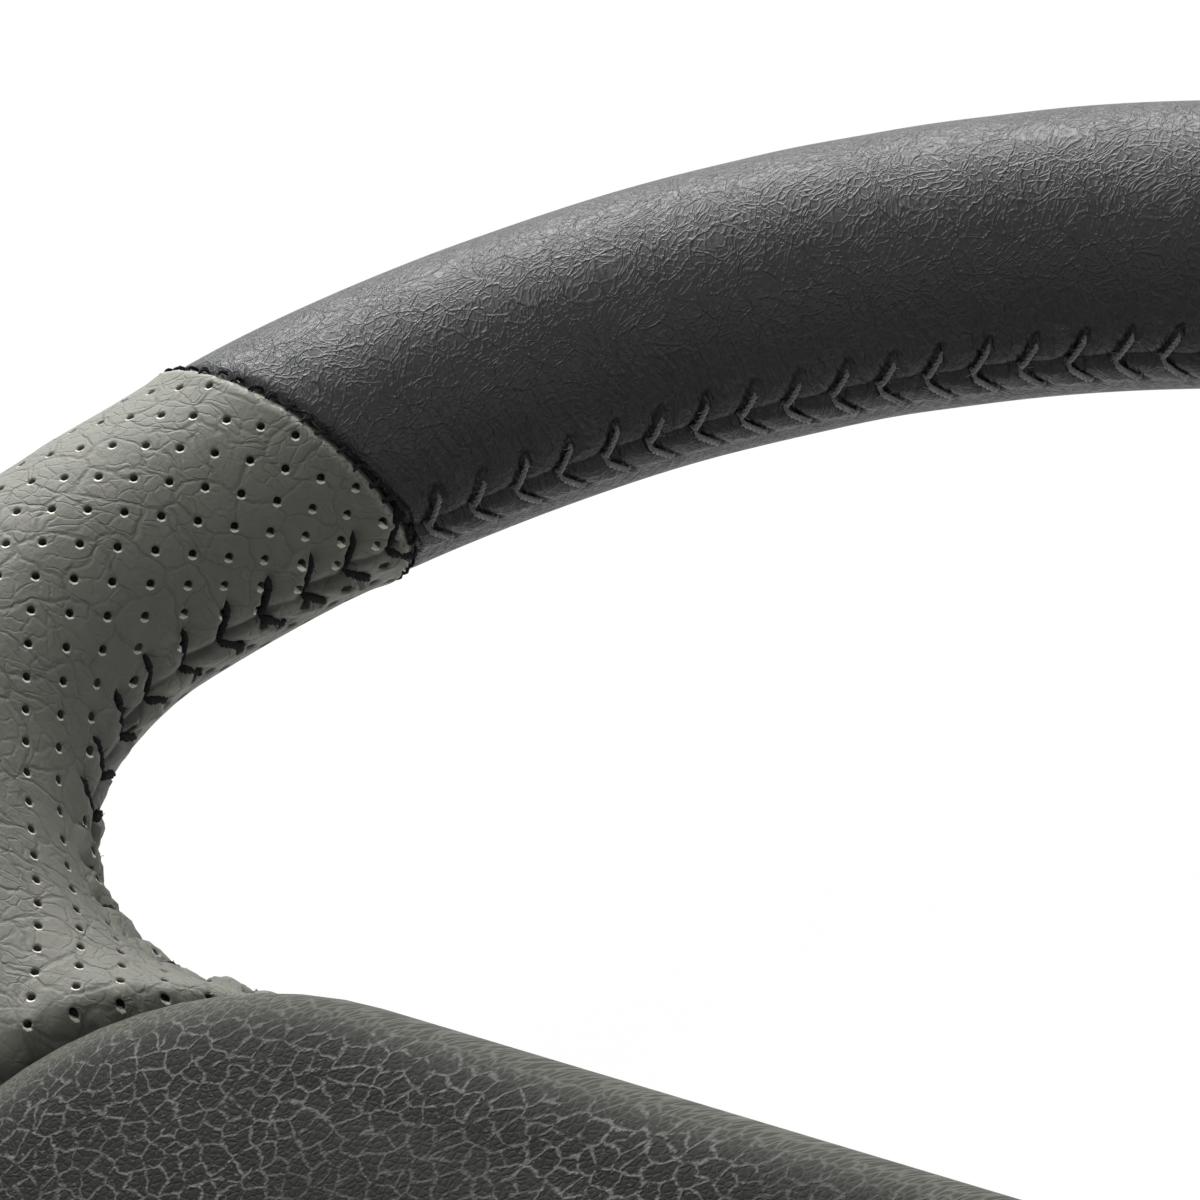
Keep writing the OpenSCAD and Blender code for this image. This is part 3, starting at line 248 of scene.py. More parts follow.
def skin(q, face, lift=0.0):
    """Points of the leather's outside for places q laid flat, on one face (1 front, -1 back)."""
    rho = np.linalg.norm(q, axis=1)
    on_rim = rho >= RING_R
    d, way = from_openings(q)
    past = np.where(on_rim, rho - RING_R, np.maximum(GRIP_R - d, 0))
    bend = np.minimum(past / GRIP_R, np.pi / 2)
    reach = (GRIP_R + lift) * np.sin(bend)
    ring = q / np.maximum(rho, 1e-6)[:, None] * (RING_R + reach)[:, None]
    plan = np.where(on_rim[:, None], ring, q + way * (past - reach)[:, None])
    drop = np.cos(bend)
    z = RIM_Z - SPOKE_DROP * spoke_share(plan) + face * (half_thickness(plan) + lift) * drop
    if face > 0:
        z = z - hollow(plan) * drop
    return np.column_stack([plan, z])


def joint_lean(rho):
    """How far round the rim a joint has moved at a flat radius, from where it starts at the seam."""
    chord = np.linalg.norm(polar(RIM_R, JOINT_SLANT) - [INNER_R, 0])
    offset = INNER_R * RIM_R * math.sin(JOINT_SLANT) / chord
    plan = RING_R + GRIP_R * np.sin((rho - RING_R) / GRIP_R)
    return np.arccos(offset / plan) - math.acos(offset / INNER_R)


def arc(r, a, b, n):
    return polar(r, a + (b - a) * np.arange(n + 1) / n)


def corner_seam(centre, r, to, n=14):
    start = angle_of(centre)
    turn = (to - start + np.pi) % (2 * np.pi) - np.pi
    return centre + arc(r - SEAM_SHIFT, start, start + turn, n)


UPPER_LEAVE, SIDE_UPPER_LEAVE = np.pi - UPPER_END, np.pi - SIDE_END
SIDE_LOWER_LEAVE, LOWER_LEAVE = np.pi - SIDE_LOW, np.pi - LOWER_END
UPPER_SEAM = corner_seam(polar(UPPER_R, UPPER_LEAVE), UPPER_CORNER, -np.pi / 2)
SIDE_UPPER_SEAM = corner_seam(polar(SIDE_R, SIDE_UPPER_LEAVE), SIDE_CORNER, np.pi / 2)
SIDE_LOWER_SEAM = corner_seam(polar(SIDE_R, SIDE_LOWER_LEAVE), SIDE_CORNER, LOW_ANGLE - np.pi / 2)
LOWER_SEAM = corner_seam(polar(LOWER_R, LOWER_LEAVE), LOWER_CORNER, LOW_ANGLE + np.pi / 2)
LOWER_TOP = crossing(LOW_UP, SIDE_LINE, X_AXIS, SIDE_IN) @ LOW_DIR + END_CLEAR
LOWER_BOTTOM = LOWER_POINT @ LOW_DIR + END_CLEAR
LOWER_EDGE = LOW_W / 2 + SEAM_SHIFT
UPPER_FAR = np.array([[-LEATHER_END, SPOKE_TOP + SEAM_SHIFT],
                      [-SIDE_IN - END_CLEAR, -SPOKE_BOTTOM - SEAM_SHIFT]])
LEFT_DIR, LEFT_UP = LOW_DIR * FLIP, LOW_UP * FLIP
LOWER_FAR = np.array([LEFT_DIR * LOWER_TOP + LEFT_UP * LOWER_EDGE,
                      LEFT_DIR * LOWER_BOTTOM - LEFT_UP * LOWER_EDGE])
UPPER_JOINT = np.pi / 2 + TOP_JOINT
LOWER_JOINT = 3 * np.pi / 2 - BOTTOM_JOINT
SEAM_STEP = 0.012

# The left grip's three seams, laid flat, clockwise round the wheel: top of the upper spoke to the
# upper joint, lower spoke round the side opening to the upper spoke, lower joint to lower spoke
def seam_arc(a, b):
    return arc(FLAT_IN, a, b, max(2, int(abs(b - a) / SEAM_STEP)))


SEAMS = [
    np.concatenate([UPPER_FAR[:1], UPPER_SEAM[::-1], seam_arc(UPPER_LEAVE, UPPER_JOINT)[1:]]),
    np.concatenate([LOWER_FAR[:1], SIDE_LOWER_SEAM[::-1],
                    seam_arc(SIDE_LOWER_LEAVE, SIDE_UPPER_LEAVE)[1:-1], SIDE_UPPER_SEAM,
                    UPPER_FAR[1:]]),
    np.concatenate([seam_arc(LOWER_JOINT, LOWER_LEAVE)[:-1], LOWER_SEAM, LOWER_FAR[1:]]),
]


# Meshes

def add_object(name, data):
    obj = bpy.data.objects.new(name, data)
    bpy.context.scene.collection.objects.link(obj)
    return obj


def add_mesh(name, verts, faces, body, material, node, slot, **attributes):
    """A smooth-shaded piece in place of a node. Attributes are one value or vector a vertex."""
    mesh = bpy.data.meshes.new(name)
    mesh.from_pydata((np.asarray(verts) / MM).tolist(), [], np.asarray(faces).tolist())
    mesh.polygons.foreach_set("use_smooth", np.ones(len(mesh.polygons), bool))
    for key, values in attributes.items():
        kind = "FLOAT_VECTOR" if np.ndim(values) == 2 else "FLOAT"
        field = "vector" if np.ndim(values) == 2 else "value"
        data = mesh.attributes.new(key, kind, "POINT").data
        data.foreach_set(field, np.asarray(values, np.float32).ravel())
    obj = add_object(name, mesh)
    mesh.materials.append(material)
    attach(obj, body)
    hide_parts(node)


def normals(verts, faces):
    corner = verts[faces[:, :3]]
    n = np.cross(corner[:, 1] - corner[:, 0], corner[:, 2] - corner[:, 0])
    out = np.zeros_like(verts)
    for k in range(faces.shape[1]):
        np.add.at(out, faces[:, k], n)
    return out / np.maximum(np.linalg.norm(out, axis=1), 1e-12)[:, None]


def welded(verts, faces, tolerance=1e-3):
    """Numbers of the vertices to keep, one at each place, and the faces between them."""
    _, first, number = np.unique(np.round(verts / tolerance), axis=0, return_index=True,
                                 return_inverse=True)
    faces = number.ravel()[faces]
    whole = (faces != np.roll(faces, 1, 1)).all(1)
    return first, faces[whole]


def grid_faces(rows, columns, closed=False):
    j, i = np.meshgrid(np.arange(rows - 1), np.arange(columns if closed else columns - 1),
                       indexing="ij")
    a = (j * columns + i).ravel()
    b = (j * columns + (i + 1) % columns).ravel()
    return np.column_stack([a, b, b + columns, a + columns])


# Seams

class Seam:
    """An open line laid flat with leather on its left, measured by its real length."""

    def __init__(self, line):
        self.line = line
        steps = np.linalg.norm(np.diff(skin(line, 1)[:, :2], axis=0), axis=1)
        self.run = np.concatenate([[0], np.cumsum(steps)])
        self.length = self.run[-1]
        self.count = int(self.length / PITCH)
        self.pitch = self.length / self.count

    def at(self, s, w=0.0):
        """Flat places at real distances s along the seam and w into the leather."""
        point, ahead, behind = (
            np.column_stack([np.interp(s + step, self.run, self.line[:, k]) for k in (0, 1)])
            for step in (0, 0.6, -0.6))
        u = (ahead - behind) / np.linalg.norm(ahead - behind, axis=1)[:, None]
        return point + np.column_stack([-u[:, 1], u[:, 0]]) * np.reshape(w, (-1, 1))

    def locate(self, p):
        """Real distance along the seam, and flat distance from it, of flat places."""
        s, w = np.zeros(len(p)), np.full(len(p), 1e9)
        for a, b, start, end in zip(self.line, self.line[1:], self.run, self.run[1:]):
            d, t = from_side(p, a, b)
            nearer = d < w
            s[nearer] = start + t[nearer] * (end - start)
            w[nearer] = d[nearer]
        return s, w


LEG_IN, LEG_OUT = 0.6, 3.6
LEG_SLOPE = STITCH_LEAN * PITCH / (LEG_OUT - LEG_IN)


def relief(seam, s, w, lobe, seed, pillow=0.0):
    """Height of the leather where the stitches gather it: lobes that rise towards the next leg."""
    legs = (s - LEG_SLOPE * np.clip(w - LEG_IN, 0, LEG_OUT)) / seam.pitch - 0.5
    # 0 at one stitch's leg and 1 at the next one's
    x = legs % 1
    number = np.floor(legs)
    vary = 1 + 0.25 * np.sin(number * 2.4 + seed) + 0.15 * np.sin(number * 5.1 + seed * 3)
    near = smooth((5.6 - w) / 2.4)
    lip = smooth((5.0 - w) / 1.4)
    rise = np.clip(x / 0.8, 0, 1) ** 0.8 * smooth((1 - x) / 0.13)
    rise = (rise * (1 - pillow) + np.sin(np.pi * x) ** 0.7 * pillow) * near
    groove = np.exp(-(np.minimum(x, 1 - x) * seam.pitch / 0.42) ** 2) * lip * smooth(w / 0.5)
    valley = np.exp(-(w / 0.75) ** 2)
    hole = np.exp(-((np.minimum(x, 1 - x) * seam.pitch) ** 2 + (w - LEG_OUT - 0.2) ** 2) / 0.45)
    gather = np.sin(2 * np.pi * s / 1.35 + 1.3 * np.sin(s * 0.9 + seed))
    gather = gather * smooth(w / 0.8) * smooth((8.5 - w) / 5)
    return lobe * vary * rise + 0.07 * gather - 0.5 * groove - 0.75 * valley - 0.4 * hole


# Perforated grips

HOLE_LIP, HOLE_DEPTH = 0.78, 1.0
# radii round a hole's middle, each with the share of the hole's depth there
HOLE_RINGS = {"fine": ((0.0, 1.0), (0.38, 0.95), (0.45, 0.1), (0.60, 0.02), (HOLE_LIP, 0.0)),
              "plain": ((0.0, 1.0), (0.42, 0.9), (HOLE_LIP, 0.0))}
HOLE_SIDES = {"fine": 10, "plain": 6}
# spacing of the mesh away from the seams and beside them
PLAIN_STEP, BAND_STEP = 2.5, {"fine": 0.75, "plain": 1.1}
SEAM_BAND, JOINT_BAND = 5.4, 2.6
# the side of a hole on which the pale inside of the leather catches the light
LIT_SIDE = np.array([0.28, -0.96])

# one hole's place laid flat, the steps along a row and between rows, and how stretching bent the rows
HOLE_START = np.array([-128.756, 92.689])
HOLE_STEP, ROW_STEP = np.array([3.6545, 1.1578]), np.array([-0.7982, 3.2242])
ROW_TWIST, ROW_BEND, ROWS_SPREAD = (
    np.array(v) for v in ((0.0189, -0.1863), (0.0062, -0.0251), (0.0782, 0.1184)))
BEND_REACH = 12
# third coordinate of the leather's texture, plus on the front and minus on the back
FACE_APART = 60.0


def hole_centres():
    """Rows of perforations on the leather laid flat, wider than the leather itself."""
    grid = np.meshgrid(np.arange(-40, 45), np.arange(-70, 30))
    i, j = (g.ravel().astype(float)[:, None] for g in grid)
    bent_i, bent_j = (BEND_REACH * np.tanh(k / BEND_REACH) for k in (i, j))
    return (HOLE_START + HOLE_STEP * i + ROW_STEP * j + ROW_TWIST * bent_i * bent_j
            + ROW_BEND * bent_i ** 2 + ROWS_SPREAD * bent_j ** 2)


def resampled(line, step):
    """Points along an open line about step apart, without its last point."""
    run = np.concatenate([[0], np.cumsum(np.linalg.norm(np.diff(line, axis=0), axis=1))])
    n = max(1, round(run[-1] / step))
    s = run[-1] * np.arange(n) / n
    return np.column_stack([np.interp(s, run, line[:, k]) for k in (0, 1)])


def joint_line(upper, n=40):
    rho = FLAT_IN + (FLAT_OUT - FLAT_IN) * np.arange(n + 1) / n
    lean = joint_lean(rho)
    return polar(rho, UPPER_JOINT + lean if upper else LOWER_JOINT - lean)


def grip_outline():
    """The left grip's leather laid flat, as a closed line."""
    upper, lower = joint_line(True), joint_line(False)
    outer = arc(FLAT_OUT, angle_of(upper[-1]), angle_of(lower[-1]) % (2 * np.pi), 60)
    return np.concatenate([
        resampled(outer, 1.8), resampled(lower[::-1], 0.8), resampled(SEAMS[2], 0.6),
        resampled(LOWER_FAR[::-1], 2.5), resampled(SEAMS[1], 0.6),
        resampled(UPPER_FAR[::-1], 2.5), resampled(SEAMS[0], 0.6), resampled(upper, 0.6)])


def hex_grid(step, low, high):
    """Points at the corners of even triangles over a box."""
    rows = []
    for k, y in enumerate(np.arange(low[1], high[1], step * 0.866)):
        x = np.arange(low[0] + (k % 2) * step / 2, high[0], step)
        rows.append(np.column_stack([x, np.full(len(x), y)]))
    return np.concatenate(rows)


GRIP_SEAMS = [Seam(line) for line in SEAMS]
GRIP_OUTLINE = grip_outline()
UPPER_JOINT_LINE, LOWER_JOINT_LINE = joint_line(True), joint_line(False)


def line_distance(line, p):
    far = np.full(len(p), 1e9)
    for a, b in zip(line, line[1:]):
        far = np.minimum(far, from_side(p, a, b)[0])
    return far


def seam_places(p):
    """The nearest grip seam's number, the distance along it and the depth into the leather."""
    number, s, w = np.zeros(len(p), int), np.zeros(len(p)), np.full(len(p), 1e9)
    for k, seam in enumerate(GRIP_SEAMS):
        along, depth = seam.locate(p)
        nearer = depth < w
        number[nearer], s[nearer], w[nearer] = k, along[nearer], depth[nearer]
    return number, s, w


def from_joints(p):
    return np.minimum(line_distance(UPPER_JOINT_LINE, p), line_distance(LOWER_JOINT_LINE, p))


def by_seam_or_joint(p):
    """Whether places lie in the bands that take a finer mesh."""
    return (seam_places(p)[2] < SEAM_BAND) | (from_joints(p) < JOINT_BAND)


def grip_sheet(face, kind):
    """One face of the left grip: flat places, triangles, hole depth and the holes' lit sides."""
    low, high = GRIP_OUTLINE.min(0), GRIP_OUTLINE.max(0)
    centres = hole_centres()
    centres = centres[from_outline(GRIP_OUTLINE, centres) < -HOLE_LIP - 0.35]
    coarse = hex_grid(PLAIN_STEP, low, high)
    coarse = coarse[from_outline(GRIP_OUTLINE, coarse) < -1.0]
    coarse = coarse[~by_seam_or_joint(coarse)]
    band = hex_grid(BAND_STEP[kind], low, high)
    band = band[from_outline(GRIP_OUTLINE, band) < -0.4]
    band = band[by_seam_or_joint(band)]
    tree = kdtree.KDTree(len(centres))
    for k, c in enumerate(centres):
        tree.insert((*c, 0), k)
    tree.balance()

    def clear(p, gap):
        d = np.array([tree.find((*q, 0))[2] for q in p])
        return p[d > HOLE_LIP + gap]

    sides = HOLE_SIDES[kind]
    turn = 2 * np.pi * np.arange(sides) / sides
    rings = [centres if r == 0 else (centres[:, None] + polar(r, turn)[None]).reshape(-1, 2)
             for r, _ in HOLE_RINGS[kind]]
    points = np.concatenate([GRIP_OUTLINE, clear(coarse, 0.7), clear(band, 0.25), *rings])
    n = len(GRIP_OUTLINE)
    rim = [(k, (k + 1) % n) for k in range(n)]
    verts, _, faces, *_ = delaunay_2d_cdt([Vector(p) for p in points.tolist()], rim, [], 0, 1e-7, False)
    flat = np.array([v[:] for v in verts])
    faces = np.array(faces)
    middle = flat[faces].mean(1)
    faces = faces[from_outline(GRIP_OUTLINE, middle) < 0]
    # every triangle runs the same way round
    a, b, c = (flat[faces[:, k]] for k in range(3))
    turned = (b[:, 0] - a[:, 0]) * (c[:, 1] - a[:, 1]) < (b[:, 1] - a[:, 1]) * (c[:, 0] - a[:, 0])
    faces[turned] = faces[turned][:, ::-1]
    if face < 0:
        faces = faces[:, ::-1]
    found = [tree.find((*q, 0)) for q in flat]
    offset = flat - np.array([place[:2] for place, _, _ in found])
    near = np.linalg.norm(offset, axis=1)
    radii, depths = zip(*HOLE_RINGS[kind])
    depth = np.interp(near, radii, depths)
    lit_side = np.where((near > 0.3) & (near < 0.65), offset @ LIT_SIDE, 0)
    return flat, faces, depth, lit_side


def waves(p, seed, size, height):
    """Soft unevenness of hand-stretched leather."""
    return height * np.array([noise.noise(Vector((x / size, y / size, seed))) for x, y in p])


def build_grip(material):
    sheets, start = [], 0
    for face, kind in ((1, "fine"), (-1, "plain")):
        q, faces, hole, pale = grip_sheet(face, kind)
        number, s, w = seam_places(q)
        up = np.zeros(len(q))
        for k, seam in enumerate(GRIP_SEAMS):
            mine = number == k
            up[mine] = relief(seam, s[mine], w[mine], 1.15, 1.7 * k + face, 0.15)
        joint = from_joints(q)
        up += 0.42 * np.exp(-(joint / 1.8) ** 2) * smooth(w / 2) - 0.9 * np.exp(-(joint / 0.4) ** 2)
        up += waves(q, 3.0 + face, 9.0, 0.12) * smooth(w / 4)
        flat_at = np.column_stack([q, np.full(len(q), FACE_APART * face)])
        seam_at = np.column_stack([s, w, joint])
        sheets.append((faces + start, skin(q, face), up - HOLE_DEPTH * hole, flat_at, seam_at, hole, pale))
        start += len(q)
    faces, *fields = (np.concatenate(x) for x in zip(*sheets))
    first, faces = welded(fields[0], faces)
    verts, height, flat_at, seam_at, hole, pale = (field[first] for field in fields)
    verts = verts + normals(verts, faces) * height[:, None]
    for name, side in (("leather_grip_left", 1), ("leather_grip_right", -1)):
        add_mesh(name + "_wrap", verts * [side, 1, 1], faces if side > 0 else faces[:, ::-1], "wheel",
                 material, node=name, slot="leather_grey", flat_at=flat_at * [side, 1, 1],
                 seam_at=seam_at, hole=hole, pale=pale)


# Black panels

def black_seam(middle, half):
    n = int(2 * half / 0.006)
    return Seam(arc(FLAT_IN, middle + half, middle - half, n))


def build_panel(name, middle, half, seam, material, seed):
    near = np.concatenate([np.arange(0, 5.2, 0.42), np.arange(5.2, FLAT_REACH * 2 - 5.2, 1.75)])
    total = 4 * FLAT_REACH
    around = np.unique(np.round(np.concatenate([near, total - near]), 4))
    columns = int(2 * half * INNER_R / 0.5)
    share = 1 - 2 * np.arange(columns + 1) / columns
    w = np.where(around <= total / 2, around, total - around)
    rho = FLAT_IN + w
    lean = joint_lean(rho)
    angle = middle + share[None] * (half + lean[:, None])
    flat = polar(rho[:, None], angle).reshape(-1, 2)
    phi = around / GRIP_R
    # phi is 0 at the seam, a quarter turn at the front crest
    out_r, up = -np.cos(phi), np.sin(phi)
    s = (half - share * half) * INNER_R
    grid_s, grid_w = np.meshgrid(s * seam.length / (2 * half * INNER_R), w)
    face = np.where(around <= total / 2, 1.0, -1.0)
    height = relief(seam, grid_s.ravel(), grid_w.ravel(), 0.55, seed, 0.85)
    height += waves(flat, seed, 14.0, 0.15) * smooth(grid_w.ravel() / 4)
    end = (1 - np.abs(np.tile(share, len(around)))) * half * RING_R
    height -= 0.9 * np.exp(-(end / 0.9) ** 2)
    height -= 0.12 * np.exp(-(end / 5.0) ** 2)
    height = height.reshape(len(around), -1)
    r = GRIP_R + height
    plan = RING_R + r * out_r[:, None]
    z = RIM_Z + r * up[:, None]
    verts = np.stack([plan * np.cos(angle), plan * np.sin(angle), z], -1).reshape(-1, 3)
    faces = grid_faces(len(around), columns + 1)
    flat_at = np.column_stack([flat, np.repeat(face, columns + 1) * FACE_APART])
    seam_at = np.column_stack([grid_s.ravel(), grid_w.ravel(), end])
    add_mesh(name + "_wrap", verts, faces[:, ::-1], "wheel", material, node=name,
             slot="leather_black", flat_at=flat_at, seam_at=seam_at)


# Thread

def sweep(paths, radius, sides):
    """Tubes of one radius along paths of n points each, as one mesh."""
    paths = np.asarray(paths)
    tangent = np.gradient(paths, axis=1)
    tangent /= np.linalg.norm(tangent, axis=2)[..., None]
    side = np.cross(tangent, [0.31, 0.17, 0.93])
    side /= np.linalg.norm(side, axis=2)[..., None]
    up = np.cross(tangent, side)
    turn = 2 * np.pi * np.arange(sides) / sides
    ring = side[:, :, None] * np.cos(turn)[:, None] + up[:, :, None] * np.sin(turn)[:, None]
    verts = paths[:, :, None] + radius * ring
    count, n = paths.shape[:2]
    one = grid_faces(n, sides, closed=True)
    faces = (one[None] + (np.arange(count) * n * sides)[:, None, None]).reshape(-1, 4)
    return verts.reshape(-1, 3), faces


PLIES, LAY = 3, 1.9
GREY_PLY, BLACK_PLY = 0.2, 0.28
LEG_POINTS = 14
HAIR_R, HAIR_LENGTH, HAIRS = 0.035, 0.9, 9
TUFT_R = 0.16


def stitch_paths(seam, face, seed, ply_out):
    """Centre lines of the plies of every leg on one face of a seam."""
    t = np.linspace(0, 1, LEG_POINTS)
    w = 0.15 + (LEG_OUT + 0.15) * t
    lift = -0.75 + 1.05 * smooth(t / 0.16) - 1.15 * smooth((t - 0.88) / 0.12)
    draw = np.random.default_rng(seed)
    plies = []
    for k in range(seam.count):
        s = (k + 0.5) * seam.pitch + LEG_SLOPE * np.clip(w - LEG_IN, -0.5, LEG_OUT)
        s = s + draw.normal(0, 0.08)
        flat = seam.at(s, w * (1 + draw.normal(0, 0.04)))
        centre = skin(flat, face, 0.0)
        out = skin(flat, face, 1.0) - centre
        out /= np.linalg.norm(out, axis=1)[:, None]
        centre = centre + out * (lift + draw.normal(0, 0.03))[:, None]
        along = np.gradient(centre, axis=0)
        along /= np.linalg.norm(along, axis=1)[:, None]
        across = np.cross(along, out)
        length = np.concatenate([[0], np.cumsum(np.linalg.norm(np.diff(centre, axis=0), axis=1))])
        phase = draw.uniform(0, 2 * np.pi)
        for ply in range(PLIES):
            a = phase + 2 * np.pi * (length / LAY + ply / PLIES)
            plies.append(centre + ply_out * (np.cos(a)[:, None] * out + np.sin(a)[:, None] * across))
    return plies


def hairs(paths, seed):
    """Short loose fibres that stand off the thread of the given paths."""
    draw = np.random.default_rng(seed)
    out = []
    for path in paths[::PLIES]:
        middle = path.mean(0)
        for _ in range(HAIRS):
            start = path[draw.integers(2, len(path) - 2)]
            way = draw.normal(0, 1, 3) + 0.5 * (start - middle)
            way *= HAIR_LENGTH * draw.uniform(0.5, 1) / np.linalg.norm(way)
            sag = draw.normal(0, 0.25 * HAIR_LENGTH, 3)
            t = np.linspace(0, 1, 4)[:, None]
            out.append(start + way * t + sag * t * t)
    return out


def joint_tufts(seed):
    """Ends of black thread that show along the joints of the two leathers, in threes."""
    draw = np.random.default_rng(seed)
    out = []
    for line, side in ((UPPER_JOINT_LINE, 1), (LOWER_JOINT_LINE, -1)):
        run = np.concatenate([[0], np.cumsum(np.linalg.norm(np.diff(line, axis=0), axis=1))])
        for face in (1, -1):
            for s in np.arange(1.2, run[-1] - 1, TUFT_PITCH):
                place = np.array([np.interp(s + draw.normal(0, 0.2), run, line[:, k]) for k in (0, 1)])
                around = np.array([-place[1], place[0]]) / np.linalg.norm(place)
                for _ in range(3):
                    turn = draw.normal(0, 0.35)
                    way = around * math.cos(turn) + place / np.linalg.norm(place) * math.sin(turn)
                    t = np.linspace(-0.45, 0.75, 5)[:, None] * draw.uniform(0.7, 1.2)
                    flat = place - side * way * t + draw.normal(0, 0.12, 2)
                    lift = 0.25 + draw.uniform(0, 0.2) - 1.6 * t[:, 0] ** 2
                    base = skin(flat, face)
                    up = skin(flat, face, 1.0) - base
                    up /= np.linalg.norm(up, axis=1)[:, None]
                    out.append(base + up * lift[:, None])
    return out


def build_stitches(name, seams, material, slot, seed, ply, mirrored=False, tufts=False):
    paths = [p for k, seam in enumerate(seams) for face in (1, -1)
             for p in stitch_paths(seam, face, seed + 10 * k + face, ply * 0.93)]
    pieces = [sweep(paths, ply, 5), sweep(hairs(paths, seed + 3), HAIR_R, 3)]
    if tufts:
        pieces.append(sweep(joint_tufts(seed + 5), TUFT_R, 4))
    starts = np.cumsum([0] + [len(v) for v, _ in pieces])
    faces = np.concatenate([f + start for (_, f), start in zip(pieces, starts)])
    verts = np.concatenate([v for v, _ in pieces])
    if mirrored:
        verts = verts * [-1, 1, 1]
        faces = faces[:, ::-1]
    add_mesh(name + "_thread", verts, faces, "wheel", material, node=name, slot=slot)


# Moulded shells: the horn pad and the rear cover

PAD_STEP = 2.2
PAD_EDGE_W, PAD_EDGE_H, PAD_CROWN = 15.0, 10.5, 3.0
PAD_WALL = 3.0
PAD_SKIRT_Z = RIM_Z - 4
PAD_WALL_TOP = RIM_Z + 4.5
PAD_SPOKE_GAP = 2.7
LEATHER_NEAR = 5.0


def inward(line):
    """Unit normals of a clockwise outline, pointing into it."""
    u = np.roll(line, -1, 0) - np.roll(line, 1, 0)
    u /= np.linalg.norm(u, axis=1)[:, None]
    return np.column_stack([u[:, 1], -u[:, 0]])


def side_height(p):
    return np.sqrt(1 - np.clip(1 - from_openings(p)[0] / GRIP_R, 0, 1) ** 2)


def leather_front(p):
    return RIM_Z - SPOKE_DROP * spoke_share(p) + (half_thickness(p) - hollow(p)) * side_height(p)


def leather_back(p):
    return RIM_Z - SPOKE_DROP * spoke_share(p) - half_thickness(p) * side_height(p)


def on_spoke(p, blend=4.0):
    """1 where the leather lies under an outline's point and 0 between the spokes."""
    side = np.abs(p[:, 0]) - (LEATHER_END - LEATHER_NEAR)
    low = np.maximum(p @ LOW_DIR, (p * FLIP) @ LOW_DIR) - (LOWER_TOP - LEATHER_NEAR)
    return smooth(np.maximum(side, low) / blend + 1)


def rings_mesh(rings):
    """Quads between closed rings of equal count."""
    return np.concatenate(rings), grid_faces(len(rings), len(rings[0]), closed=True)


def lift_to(p, z):
    return np.column_stack([p, np.broadcast_to(z, len(p))])


def build_pad(material):
    line = pad_outline(14, PAD_STEP)
    n = inward(line)
    share = on_spoke(line)
    base = PAD_SKIRT_Z + (leather_front(line) + PAD_SPOKE_GAP - PAD_SKIRT_Z) * share
    rings = []
    inner = line + n * PAD_WALL
    for z in (PAD_WALL_TOP + PAD_EDGE_H - PAD_WALL - 2, PAD_WALL_TOP):
        rings.append(lift_to(inner, np.maximum(z, base + 0.5)))
    rings.append(lift_to(inner, base + 0.1))
    rings.append(lift_to(line + n * (PAD_WALL - 0.5), base - 0.15))
    rings.append(lift_to(line + n * 0.7, base - 0.15))
    rings.append(lift_to(line + n * 0.15, base + 0.2))
    for k in np.linspace(0.06, 1, 7):
        rings.append(lift_to(line, base + 0.8 + (PAD_WALL_TOP - base - 0.8) * k))
    for t in np.linspace(0, np.pi / 2, 15)[1:]:
        rolled_in = line + n * PAD_EDGE_W * (1 - math.cos(t))
        rings.append(lift_to(rolled_in, PAD_WALL_TOP + PAD_EDGE_H * math.sin(t)))
    edge = line + n * PAD_EDGE_W
    top = PAD_WALL_TOP + PAD_EDGE_H
    for k in 1 - np.linspace(0, 1, 26)[1:] ** 0.9:
        k = max(k, 0.004)
        rings.append(lift_to(edge * k, top + PAD_CROWN * (1 - k * k)))
    verts, faces = rings_mesh(rings)
    add_mesh("pad_skin", verts, faces, "pad", material, node="pad_cover", slot="pad_skin")


COVER_HALF_W, COVER_TIP = 108.0, 112.0
COVER_CORNER, COVER_SIDE_CORNER, COVER_TIP_CORNER = 30.0, 16.0, 12.0
COVER_WALL = 2.5
COVER_FLOOR, COVER_EDGE = 10.0, 45.0
COVER_RISE_FROM, COVER_RISE_TO = 46.0, 100.0
COVER_TOP = 55.4
COLLAR_R = 40.0
RUNNING_GAP = 0.3


def cover_z(p):
    rise = (np.linalg.norm(p, axis=1) - COVER_RISE_FROM) / (COVER_RISE_TO - COVER_RISE_FROM)
    return COVER_FLOOR + (COVER_EDGE - COVER_FLOOR) * smooth(rise)


def cover_rings(line, n, tops, wall):
    z = cover_z(line)
    rings = [lift_to(line + n * wall, tops)]
    for d, share, most in ((0.0, 0.6, 6.0), (0.35, 0.42, 3.6), (1.0, 0.3, 2.4), (2.0, 0.2, 1.6)):
        rings.append(lift_to(line + n * (wall + d), z + wall + np.minimum((tops - z - wall) * share, most)))
    inner = line + n * (6.0 + wall)
    for w in np.linspace(0, 1, 26):
        q = inner * (1 - w) + inner / np.linalg.norm(inner, axis=1)[:, None] * (COLLAR_R - wall) * w
        rings.append(lift_to(q, cover_z(q) + wall))
    rings.append(lift_to(q, 9.0 + wall))
    rings.append(lift_to(q, 0.6))
    return rings, q


